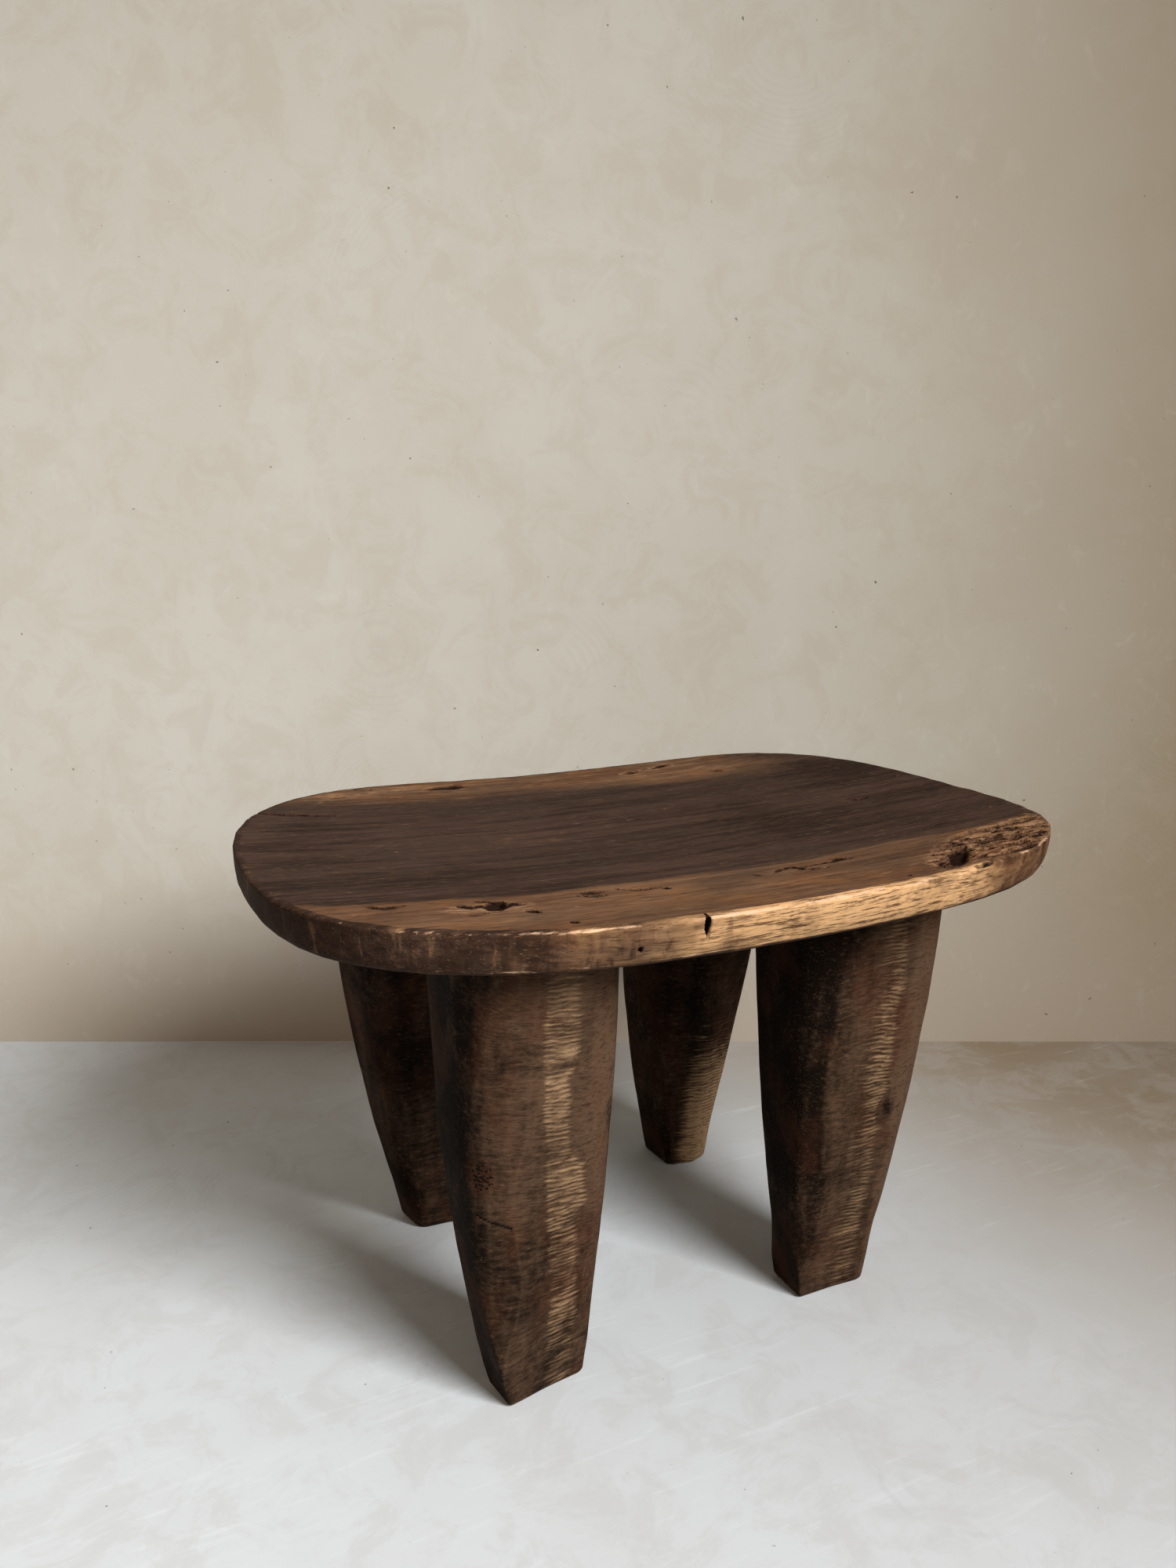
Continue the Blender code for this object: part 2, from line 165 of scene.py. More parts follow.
# Cuts in the near side of the rim, in metres: a slit that waves a little, and
# a worm hole with the radii of its floor and its mouth
SLIT_X = -0.0497
SLIT_WAVE = 0.0006
SLIT_WAVE_LENGTH = 0.0030
SLIT_HEIGHT = 0.0125
SLIT_HALF_WIDTH = 0.0016
SLIT_LEAST_HALF = 0.0002
SLIT_DEPTH = 0.0060
WORM_HOLE_X, WORM_HOLE_Z = -0.0828, 0.2728
WORM_HOLE_FLOOR, WORM_HOLE_MOUTH = 0.0008, 0.0014
WORM_HOLE_DEPTH = 0.0050
CUT_DARK_DEPTH = 0.0022

# The end split where it opens the rim: its path and half width in millimetres,
# its depth in metres and the way it runs in
NOTCH_PATH = ((-212, 117), (-205, 112.5), (-198, 109))
NOTCH_HALF_WIDTH = 1.3
NOTCH_DEPTH = 0.0024
NOTCH_WAY = (0.9, -0.45)
NOTCH_DARK_DEPTH = 0.0015

# How every leg is hewn, in metres, radians and shares
LEG_TOP_SQUARENESS = 3.3
SECTION_SAMPLES = 720
RIDGE_POWER = 60
RIDGE_PULLS = (0.5, 0.85)
TONE_SPREAD = 0.6
FLAT_SWAY = math.radians(5)
# Flats and legs this far apart in the noise have unlike hollows.
FLAT_APART = 100.0
LEG_APART = 50.0
# The finished leg keeps just inside its solid.
LEG_SHRINK = 0.992
LEG_HEAD_SHARE = 0.9
LEG_CUT_OVERRUN = 0.005
LEG_INTO_SEAT = 0.003
LEG_HEAD_HEIGHT = 0.014
FLARE_HEIGHT = 0.012
FOOT_BLUNT = 0.0016
FOOT_BLUNT_HEIGHT = 0.003
FOOT_DIM_HEIGHTS = (0.03, 0.16)
FOOT_WEAR = 0.55
FOOT_WEAR_START = 0.001
FOOT_WEAR_HEIGHT = 0.0012
# Points round a leg and levels up it, besides those of its foot and its head
FRONT_GRID = (288, 230)
BACK_GRID = (200, 160)
FOOT_LEVELS = 6
HEAD_LEVELS = 16

# Each leg's insets run from the seat's outline to its outer faces, along and
# across the seat. The bellies are those of the outer and inner end faces, then
# of the outer and inner side faces. The foot's dim is how much darker it is.
# Each flat has its heading at the top and at the foot, in degrees from +X, how
# far it stands off the foot's corner in millimetres, and how light it is: partly
# the wood's tone and partly painted light and shade, so that on the front legs
# the flats turned to the light are lighter and those turned away darker.
LEGS = {
    "leg_front_left": {
        "side": (-1, -1),
        "top_inset": (0.0765, 0.0380),
        "top_size": (0.0905, 0.0890),
        "foot_inset": (0.1035, 0.0730),
        "foot_size": (0.0485, 0.0215),
        "bellies": (2.60, 2.30, 1.05, 1.05),
        "foot_turn": 10,
        "corner_height": 0.090,
        "foot_dim": 0.42,
        "squareness": 5.0,
        "flats": (
            (-177, -172, 0, 0.10), (-147, -150, 7, 0.26), (-126, -128, 8, 0.44), (-107, -106, 4, 0.52),
            (-85, -80, 0, 0.72), (-62, -58, 2, 0.86), (-38, -40, 3, 0.70), (-12, 8, 0, 0.55),
            (14, 30, 5, 0.45), (38, 48, 6, 0.35), (62, 72, 4, 0.40), (88, 100, 0, 0.30),
            (112, 120, 5, 0.45), (136, 140, 5, 0.30), (160, 160, 3, 0.20),
        ),
    },
    "leg_front_right": {
        "side": (1, -1),
        "top_inset": (0.0765, 0.0535),
        "top_size": (0.1055, 0.0845),
        "foot_inset": (0.1175, 0.0775),
        "foot_size": (0.0465, 0.0270),
        "bellies": (1.65, 2.50, 1.50, 0.95),
        "foot_turn": -1,
        "corner_height": 0.045,
        "foot_dim": 0.15,
        "squareness": 5.0,
        "flats": (
            (-176, -179, 0, 0.05), (-152, -152, 6, 0.10), (-130, -132, 7, 0.14), (-110, -108, 3, 0.25),
            (-92, -91, 0, 0.56), (-70, -66, 3, 0.98), (-46, -44, 4, 1.00), (-18, -1, 0, 0.55),
            (10, 22, 5, 0.42), (36, 44, 6, 0.50), (62, 66, 4, 0.40), (90, 89, 0, 0.35),
            (114, 114, 5, 0.30), (138, 138, 6, 0.25), (162, 160, 4, 0.15),
        ),
    },
    "leg_back_left": {
        "side": (-1, 1),
        "top_inset": (0.0670, 0.0415),
        "top_size": (0.1060, 0.0945),
        "foot_inset": (0.1070, 0.0520),
        "foot_size": (0.0450, 0.0370),
        "bellies": (1.85, 2.40, 1.60, 0.85),
        "foot_turn": -2,
        "corner_height": 0.030,
        "foot_dim": 0.15,
        "squareness": 3.0,
        "flats": (
            (-165, -168, 0, 0.34), (-130, -130, 1, 0.30), (-98, -96, 0, 0.36), (-62, -58, 1, 0.42),
            (-25, -20, 1, 0.35), (12, 8, 0, 0.30), (45, 45, 1, 0.40), (80, 84, 0, 0.50),
            (112, 120, 1, 0.60), (148, 150, 1, 0.45),
        ),
    },
    "leg_back_right": {
        "side": (1, 1),
        "top_inset": (0.0885, 0.0390),
        "top_size": (0.1025, 0.0860),
        "foot_inset": (0.1310, 0.0500),
        "foot_size": (0.0350, 0.0410),
        "bellies": (1.65, 2.70, 1.60, 0.75),
        "foot_turn": 6,
        "corner_height": 0.030,
        "foot_dim": 0.15,
        "squareness": 3.0,
        "flats": (
            (-172, -174, 0, 0.25), (-136, -134, 1, 0.30), (-102, -100, 0, 0.50), (-68, -66, 1, 0.75),
            (-30, -28, 1, 0.60), (8, 6, 0, 0.50), (42, 46, 1, 0.40), (78, 84, 0, 0.50),
            (115, 120, 1, 0.45), (150, 152, 1, 0.30),
        ),
    },
}


# Settings a user would change
class SeatSettings(bpy.types.PropertyGroup):
    """Sizes of the dished seat slab."""

    length: FloatProperty(
        name="Length", description="Seat from end to end",
        default=CAD_BOX[1].x - CAD_BOX[0].x, unit="LENGTH",
    )
    width: FloatProperty(
        name="Width", description="Seat from side to side",
        default=CAD_BOX[1].y - CAD_BOX[0].y, unit="LENGTH",
    )
    height: FloatProperty(
        name="Height", description="Floor to the highest point of the rim",
        default=CAD_BOX[1].z, unit="LENGTH",
    )
    edge_wear: FloatProperty(
        name="Edge wear", description="Width of the rounded-over upper edge",
        default=0.0024, unit="LENGTH",
    )
    flat_width: FloatProperty(
        name="Rim flats", description="Mean width of the hewn flats round the rim",
        default=0.017, unit="LENGTH",
    )


class LegSettings(bpy.types.PropertyGroup):
    """How the legs are hewn."""

    flat_share: FloatProperty(
        name="Flatness", description="How flat the hewn faces are, from round to faceted",
        default=0.62, min=0, max=1, subtype="FACTOR",
    )
    scallop: FloatProperty(
        name="Tool marks", description="Depth of the hollows that the blade left along a leg",
        default=0.0006, unit="LENGTH",
    )
    flare: FloatProperty(
        name="Flare", description="How far a leg widens where it runs into the seat",
        default=0.0030, unit="LENGTH",
    )


class WoodSettings(bpy.types.PropertyGroup):
    """Colours and finish of the wood."""

    heart_dark: FloatVectorProperty(
        name="Heartwood, dark", description="Dark streaks of the seat's middle",
        default=(0.0160, 0.0092, 0.0075), subtype="COLOR", size=3,
    )
    heart_light: FloatVectorProperty(
        name="Heartwood, light", description="Light streaks of the seat's middle",
        default=(0.0600, 0.0345, 0.0255), subtype="COLOR", size=3,
    )
    sap_dark: FloatVectorProperty(
        name="Sapwood, dark", description="Dark streaks of the outer wood",
        default=(0.092, 0.044, 0.0235), subtype="COLOR", size=3,
    )
    sap_light: FloatVectorProperty(
        name="Sapwood, light", description="Light streaks of the outer wood",
        default=(0.174, 0.094, 0.051), subtype="COLOR", size=3,
    )
    rim_pale: FloatVectorProperty(
        name="Rim, pale", description="Long grain that shows pale along the near rim",
        default=(0.545, 0.326, 0.160), subtype="COLOR", size=3,
    )
    worn: FloatVectorProperty(
        name="Worn wood", description="Pale wood where the patina has rubbed off",
        default=(0.560, 0.365, 0.235), subtype="COLOR", size=3,
    )
    leg_dark: FloatVectorProperty(
        name="Leg, dark", description="Dark patina of the legs",
        default=(0.0042, 0.0025, 0.0016), subtype="COLOR", size=3,
    )
    leg_light: FloatVectorProperty(
        name="Leg, light", description="Lighter streaks of the legs",
        default=(0.079, 0.0460, 0.0280), subtype="COLOR", size=3,
    )
    # Laid where the legs' wear mark is high: burnished wood and foot wear, and also a painted highlight on
    # the front legs' strips and painted light low on the back right leg.
    leg_gold: FloatVectorProperty(
        name="Leg, burnished", description="Golden wood on the rubbed faces of the legs",
        default=(0.300, 0.190, 0.106), subtype="COLOR", size=3,
    )
    roughness: FloatProperty(
        name="Roughness", description="Mean roughness of the waxed surface",
        default=0.60, min=0, max=1, subtype="FACTOR",
    )


class StageSettings(bpy.types.PropertyGroup):
    """Floor, backdrop, light and camera."""

    floor_colour: FloatVectorProperty(
        name="Floor", description="Pale plaster floor",
        default=(0.528, 0.568, 0.606), subtype="COLOR", size=3,
    )
    wall_colour: FloatVectorProperty(
        name="Backdrop", description="Plaster backdrop",
        default=(0.532, 0.528, 0.482), subtype="COLOR", size=3,
    )
    key_power: FloatProperty(
        name="Key light", description="Power of the soft key light", default=20.5, min=0, unit="POWER",
    )
    key_size: FloatProperty(
        name="Key size", description="Side of the key light", default=0.95, unit="LENGTH",
    )
    wall_distance: FloatProperty(
        name="Backdrop distance", description="From the stool's middle to the backdrop",
        default=0.305, unit="LENGTH",
    )
    samples_seed: IntProperty(
        name="Pattern seed", description="Seed of the carved irregularities", default=7, min=0,
    )


# Smooth noise and distances, on whole arrays. The mixers are large odd numbers.
CELL_MIXERS = (374761393, 668265263, 1442695041)
SEED_MIXER = 1274126177
LOW_32_BITS = 0xFFFFFFFF
LOW_16_BITS = 0xFFFF


def lattice_value(cell, seed):
    """A fixed value from 0 to 1 for each whole-number cell, by mixing the bits of its indices."""
    mixed = sum(cell[..., axis] * mixer for axis, mixer in enumerate(CELL_MIXERS))
    mixed = (mixed + seed * SEED_MIXER) & LOW_32_BITS
    for shift, mixer in ((13, SEED_MIXER), (15, CELL_MIXERS[1])):
        mixed = ((mixed ^ (mixed >> shift)) * mixer) & LOW_32_BITS
    return ((mixed ^ (mixed >> 16)) & LOW_16_BITS) / LOW_16_BITS


def soft_noise(points, sizes, seed):
    """Noise from -1 to 1: lattice values blended with 3t^2 - 2t^3 along each axis.

    sizes are the lengths of a feature along the three axes.
    """
    place = points / np.asarray(sizes, float)
    cell = np.floor(place).astype(np.int64)
    share = place - cell
    share = share * share * (3 - 2 * share)
    total = 0
    for corner in np.ndindex(2, 2, 2):
        weight = np.prod(np.where(corner, share, 1 - share), axis=-1)
        total = total + weight * lattice_value(cell + np.array(corner), seed)
    return 2 * total - 1


def layered_noise(points, sizes, seed, layers):
    """Sum of soft noise at sizes that halve, each layer half as strong as the last."""
    sizes = np.asarray(sizes, float)
    total = 0
    for layer in range(layers):
        total = total + soft_noise(points, sizes / 2**layer, seed + 31 * layer) / 2**layer
    return total / (2 - 2.0 ** (1 - layers))


# The slow noises of the shapes and tones: how long their features are along
# each axis in millimetres, the number that sets each apart, its layers and its
# strength. The legs' hollows have flats along their first axis.
NOISES = {
    "ragged along": ((7, 2.2, 1), 1, 3, 1.6),
    "ragged across": ((9, 1.6, 1), 2, 3, 0.9),
    "pit floor": ((6, 1.6, 1), 3, 1, 0.30),
    "torn across": ((3.5, 2.5, 1), 4, 3, 0.7),
    "groove reach": ((4, 3, 1), 6, 3, 0.65),
    "fine splinters": ((30, 3, 1), 0, 3, 1.0),
    "broad splinters": ((38, 7, 1), 5, 3, 1.0),
    "edge wear": ((14, 14, 1), 21, 3, 0.30),
    "fine edge wear": ((3.5, 3.5, 1), 22, 3, 0.16),
    "ragged foot": ((10, 10, 1), 23, 3, 1.0),
    "underside waves": ((30, 16, 1), 31, 3, 0.35),
    "rim waves": ((16, 16, 9), 33, 3, 0.25),
    "chips": ((6, 3, 2), 41, 3, 1.0),
    "broad top waves": ((60, 38, 1), 51, 3, 0.28),
    "fine top waves": ((40, 5, 1), 52, 3, 0.07),
    "heart line": ((60, 14, 60), 61, 3, 2.5),
    "fine heart line": ((18, 3, 18), 62, 3, 1.5),
    "rubbed edge": ((11, 7, 4), 63, 3, 0.9),
    "rim sapwood": ((16, 16, 12), 64, 3, 0.13),
    "flat sway": ((1, 70, 1), 71, 1, 1.0),
    "long hollows": ((1, 34, 1), 72, 1, 0.8),
    "short hollows": ((1, 11, 1), 73, 1, 0.3),
    "leg dents": ((14, 14, 26), 81, 3, 0.35),
    "crack shake": ((6, 6, 6), 82, 3, 0.5),
    "strip wander": ((40, 40, 30), 83, 3, 1.0),
    "gold patches": ((14, 14, 26), 85, 3, 1.0),
    "blots": ((13, 13, 24), 86, 3, 1.0),
}


def noise_of(kind, spots, seed):
    """One of the slow noises at places in millimetres: its strength times layered noise."""
    sizes, number, layers, strength = NOISES[kind]
    return strength * layered_noise(spots, sizes, seed + number, layers)


def step_between(value, low, high):
    """0 below low, 1 above high, and 3t^2 - 2t^3 between them."""
    share = np.clip((value - low) / (high - low), 0, 1)
    return share * share * (3 - 2 * share)


def read_off(pairs, place):
    """A value between the rows (place, value) of a table, along straight lines."""
    return np.interp(place, *np.transpose(pairs))


def in_plan(spots):
    """Places in plan in millimetres, with a height of zero for the noise functions."""
    return np.column_stack((spots / MILLIMETRE, np.zeros(len(spots))))


def run_distance(points, start, end):
    """Distance to a straight run, and the share of it at which the nearest place lies."""
    run = end - start
    share = np.clip(((points - start) @ run) / (run @ run), 0, 1)
    return np.linalg.norm(points - start - share[:, None] * run, axis=1), share


def path_distance(points, path):
    """Distance to a path of straight runs, and how far along it the nearest place is, from 0 to 1."""
    path = np.asarray(path, float)
    runs = np.linalg.norm(np.diff(path, axis=0), axis=1)
    starts = np.concatenate(([0], np.cumsum(runs)))
    best = np.full(len(points), np.inf)
    along = np.zeros(len(points))
    for a, b, run, start in zip(path[:-1], path[1:], runs, starts):
        distance, share = run_distance(points, a, b)
        nearer = distance < best
        best = np.where(nearer, distance, best)
        along = np.where(nearer, (start + share * run) / starts[-1], along)
    return best, along


def inside_distance(points, corners):
    """Distance inside a closed outline in plan: positive inside and negative outside.

    A place is inside where a line from it towards +X crosses the outline an
    odd number of times.
    """
    corners = np.asarray(corners, float)
    x, y = points.T
    best = np.full(len(points), np.inf)
    inside = np.zeros(len(points), bool)
    for a, b in zip(corners, np.roll(corners, -1, axis=0)):
        best = np.minimum(best, run_distance(points, a, b)[0])
        rise = b[1] - a[1] or LEAST_RISE
        crosses = (a[1] > y) != (b[1] > y)
        inside ^= crosses & (x < a[0] + (y - a[1]) * (b[0] - a[0]) / rise)
    return np.where(inside, best, -best)


# Meshes
def hold(name, data):
    """A new object that holds the data."""
    holder = bpy.data.objects.new(name, data)
    bpy.context.scene.collection.objects.link(holder)
    return holder


def ring_mesh(name, rings, attributes):
    """A closed surface through rings of as many points each, with a hub at each end.

    rings is an array (ring, place round the ring, xyz), lowest ring first. Each
    attribute is an array (ring, place), and the hubs take the mean of their ring.
    """
    count, around = rings.shape[:2]
    points = rings.reshape(-1, 3)
    hubs = np.array([rings[0].mean(axis=0), rings[-1].mean(axis=0)])
    points = np.vstack((points, hubs))
    low_hub, high_hub = count * around, count * around + 1
    i = np.arange(around)
    j = np.roll(i, -1)
    base = np.arange(count - 1)[:, None] * around
    quads = np.stack((base + i, base + j, base + around + j, base + around + i), axis=-1)
    quads = quads.reshape(-1, 4)
    last = (count - 1) * around
    low_fan = np.column_stack((j, i, np.full(around, low_hub)))
    high_fan = np.column_stack((last + i, last + j, np.full(around, high_hub)))
    loops = np.concatenate((quads.ravel(), low_fan.ravel(), high_fan.ravel()))
    sizes = np.concatenate((np.full(len(quads), 4), np.full(2 * around, 3)))
    starts = np.concatenate(([0], np.cumsum(sizes)[:-1]))
    mesh = bpy.data.meshes.new(name)
    mesh.vertices.add(len(points))
    mesh.vertices.foreach_set("co", points.astype(np.float32).ravel())
    mesh.loops.add(len(loops))
    mesh.loops.foreach_set("vertex_index", loops.astype(np.int32))
    mesh.polygons.add(len(sizes))
    mesh.polygons.foreach_set("loop_start", starts.astype(np.int32))
    mesh.polygons.foreach_set("use_smooth", np.ones(len(sizes), bool))
    mesh.update(calc_edges=True)
    mesh.validate()
    for key, values in attributes.items():
        flat = np.concatenate((values.ravel(), [values[0].mean(), values[-1].mean()]))
        layer = mesh.attributes.new(key, "FLOAT", "POINT")
        layer.data.foreach_set("value", flat.astype(np.float32))
    return hold(name, mesh)


# Seat
def squared_oval(angles, squareness):
    """Unit superellipse: cosine and sine raised to two over the squareness."""
    cosines, sines = np.cos(angles), np.sin(angles)
    power = 2 / squareness
    return np.column_stack(
        (np.sign(cosines) * np.abs(cosines) ** power, np.sign(sines) * np.abs(sines) ** power)
    )


def seat_outline(length, width):
    """The seat's outline, counterclockwise from +X, and the run to each of its points.

    The squared oval times one plus its waves, centred and scaled to the seat.
    """
    angles = np.linspace(0, 2 * math.pi, OUTLINE_SAMPLES + 1)
    swell = 1 + sum(c * np.cos(n * angles) + s * np.sin(n * angles) for n, c, s in SEAT_WAVES)
    points = squared_oval(angles, SEAT_SQUARENESS) * swell[:, None]
    low, high = points.min(axis=0), points.max(axis=0)
    points = (points - (low + high) / 2) / (high - low) * (length, width)
    run = np.concatenate(([0], np.cumsum(np.hypot(*np.diff(points, axis=0).T))))
    return points, run


def top_rise(x, y, half_length, half_width):
    """The dish: rises with the square of the share along and across, with a tilt across."""
    return (
        TOP_RISE_ALONG * (x / half_length) ** 2
        + TOP_RISE_ACROSS * (y / half_width) ** 2
        - TOP_TILT_ACROSS * y / half_width
    )


def spaced(run_length, stretches, step):
    """Places round the outline, whose steps shrink near each stretch.

    A stretch is its middle, its reach and its share of the step. The places
    are read off where the running sum of the places a metre is a whole number.
    """
    fine = np.linspace(0, run_length, SPACING_SAMPLES)
    density = np.full_like(fine, 1 / step)
    for middle, reach, share in stretches:
        away = np.abs((fine - middle + run_length / 2) % run_length - run_length / 2)
        density = np.maximum(density, step_between(-away, -1.3 * reach, -reach) / (step * share))
    total = np.concatenate(([0], np.cumsum((density[1:] + density[:-1]) / 2 * np.diff(fine))))
    stops = np.linspace(0, total[-1], int(round(total[-1])), endpoint=False)
    return np.interp(stops, total, fine)


def on_outline(outline, run, places):
    """Points of the outline at the given runs along it."""
    return np.column_stack([np.interp(places, run, outline[:, axis]) for axis in (0, 1)])


def hewn_edge(outline, run, places, slant, flat_width, seed):
    """Places on a rim of flats: straight lines between points of the outline at uneven runs.

    slant moves the ends of the flats along the rim, as a blade held askew does.
    """
    count = int(round(run[-1] / flat_width))
    spread = np.random.default_rng(seed)
    widths = spread.uniform(*FLAT_WIDTH_SHARES, count)
    ends = np.cumsum(widths) / widths.sum() * run[-1]
    ends = ends[:-1] + spread.uniform(-1, 1, count - 1) * FLAT_SLANT_SHARE * flat_width * slant
    ends = np.concatenate(([0], ends, [run[-1]]))
    corners = on_outline(outline, run, ends)
    flat = on_outline(corners, ends, places)
    smooth = on_outline(outline, run, places)
    number = np.clip(np.searchsorted(ends, places, "right") - 1, 0, count - 1)
    shades = spread.uniform(*FLAT_SHADES, count)[number]
    return RIM_FLATNESS * flat + (1 - RIM_FLATNESS) * smooth, shades


# Places in plan on the seat's top, in millimetres from the seat's middle.
# Each pit has its outline, its depth, the run of its wall and its darkness.
PITS = (
    (((118, -130), (128, -126.5), (135, -127), (128, -136), (117, -146), (107, -151), (109, -141)),
     6.0, 2.2, 0.72),
    (((96, -151), (113, -135), (123, -130), (120, -146), (109, -153), (100, -154)), 2.8, 3.0, 0.45),
    (((174, -129), (183, -130), (184, -134), (176, -134)), 3.4, 1.4, 1.0),
    (((160, -145), (170, -141), (178, -140), (168, -147), (158, -148)), 2.4, 1.6, 0.7),
    (((-137, -104), (-131, -99.5), (-125.5, -100), (-124.5, -108), (-130, -114), (-136, -111)),
     5.0, 1.2, 1.0),
    (((-86, -100.5), (-75, -100), (-73.5, -107), (-77, -110.5), (-86, -106.5)), 1.2, 1.0, 0.42),
    (((-88, 144), (-78, 150), (-61, 152), (-57, 147), (-65, 140), (-76, 142)), 3.2, 1.5, 0.8),
    (((68, 136), (84, 145), (98, 148), (98, 142), (84, 138)), 1.0, 2.5, 0.25),
    (((119, 117), (125, 115), (126, 110), (121, 112)), 2.6, 1.0, 1.0),
    (((-155, -98), (-128, -94), (-122, -106), (-126, -116), (-150, -119)), 0.5, 4.0, 0.12),
)
# Each groove has its path, its half width, its depth and its darkness. The
# spread widens and deepens all of them.
GROOVE_SPREAD = 1.4
GROOVES = (
    (((-228, 125), (-208, 113), (-199, 108.5)), 1.9, 6.0, 1.0),
    (((-208, 113), (-195, 106.5), (-180, 100.6), (-169.4, 97.7), (-159, 95.9)), 1.3, 5.0, 1.0),
    (((-214, 75), (-202, 67)), 0.8, 0.5, 0.5),
    (((-188, -88), (-185, -91.5), (-181, -94), (-177, -94), (-171, -92)), 1.5, 2.0, 0.9),
    (((-199, -101), (-192, -103), (-185, -103)), 0.8, 0.7, 0.45),
    (((-148, -98.5), (-141.5, -107)), 1.1, 1.4, 0.9),
    (((-152, -114), (-145.4, -119), (-138, -116)), 0.9, 1.1, 0.8),
    (((-137, -95.4), (-128.8, -99.2)), 0.9, 1.4, 1.0),
    (((-128, -106), (-118, -108)), 1.1, 2.0, 1.0),
    (((-142, -102), (-134, -106)), 1.1, 2.0, 1.0),
    (((-120, -119), (-116, -124.5)), 1.6, 2.0, 1.0),
    (((-109.5, -145), (-107.5, -147)), 1.4, 1.8, 1.0),
    (((-88, -99.5), (-80, -100), (-73, -101)), 1.0, 1.6, 0.9),
    (((-88, -104), (-83, -107), (-75, -109)), 1.2, 1.8, 0.95),
    (((-84, -101), (-83, -107)), 0.8, 1.4, 0.8),
    (((-65, -100), (-61, -103), (-57, -105.3), (-52, -106.6), (-44, -106.3)), 1.1, 1.3, 0.85),
    (((-43.5, -109.8), (-41, -111)), 1.2, 1.5, 1.0),
    (((9, -109.7), (12.5, -111)), 1.0, 1.4, 1.0),
    (((21, -110.5), (27, -107.5), (33, -105.5), (37, -108), (38, -111.5), (42, -114), (50, -115.5)),
     1.4, 2.0, 0.9),
    (((38, -109), (48, -108.2), (58, -107.5), (70, -106.5)), 1.1, 1.7, 0.9),
    (((60, -103.6), (66, -105), (72, -107.5)), 1.2, 1.7, 0.9),
    (((72, -152), (74, -152.6)), 1.0, 1.7, 1.0),
    (((111, -128), (124, -127.5), (137, -123)), 1.7, 3.4, 0.75),
    (((125, -144), (131, -144), (136, -146)), 1.8, 2.8, 0.7),
    (((122, -115), (139, -108.5), (150, -104), (163, -102), (188, -101), (204, -103)), 1.5, 2.4, 0.56),
    (((130, -119), (138, -114), (150, -112), (158, -117), (172, -120), (184, -122)), 1.5, 2.4, 0.56),
    (((136, -132), (147, -131), (165, -128), (178, -127)), 1.3, 2.0, 0.56),
    (((113, -150.5), (125, -149), (138, -147), (154, -146), (164, -142)), 1.2, 1.9, 0.56),
    (((150, -124.5), (166, -123.5), (174, -125)), 1.1, 1.8, 0.56),
    (((176, -112), (190, -112), (204, -114)), 1.1, 1.6, 0.56),
    (((146, -138.5), (158, -136), (170, -135)), 0.9, 1.5, 0.56),
    (((184, -119), (196, -118), (206, -119)), 0.9, 1.5, 0.56),
    (((86, -138), (94, -137), (100, -139)), 0.9, 1.2, 0.56),
    (((111, -158.5), (125, -157)), 1.2, 2.0, 0.9),
    (((-152, 136), (-139, 140)), 0.9, 1.1, 0.8),
    (((-133, 157), (-117.5, 152)), 0.9, 1.0, 0.8),
    (((-115, 131), (-107, 129)), 0.9, 1.1, 0.8),
    (((-27, 100), (-25, 100)), 1.0, 1.3, 1.0),
    (((88, 142.5), (98, 146.5)), 1.1, 1.8, 1.0),
    (((-25, 70), (5, 71)), 0.5, 0.25, 0.5),
    (((152, 2.6), (160, -0.8), (170, 0.2)), 1.1, 1.4, 0.9),
    (((32, 12), (62, 2), (94, -12)), 0.5, 0.25, 0.4),
)
# Each decayed place has its outline, the depth of its splinters and its own
# pattern. Full decay is the depth from which a place is wholly splintered.
FULL_DECAY = 1.5
DECAY = (
    (((92, -138), (118, -114), (150, -99), (186, -94), (214, -90), (216, -112), (204, -126),
      (186, -142), (162, -152), (112, -155), (92, -153)), 2.0, 11),
    (((-158, -97), (-128, -92), (-112, -101), (-108, -113), (-118, -124), (-142, -123), (-158, -114)),
     0.5, 17),
    (((55, 130), (90, 134), (108, 138), (106, 152), (78, 150), (55, 142)), 1.4, 23),
    (((-89, -98), (-71, -97), (-71, -111), (-89, -109)), 0.8, 31),
    (((-170, 118), (-120, 138), (-60, 147), (-40, 148), (-40, 158), (-100, 160), (-160, 142)), 0.45, 29),
)


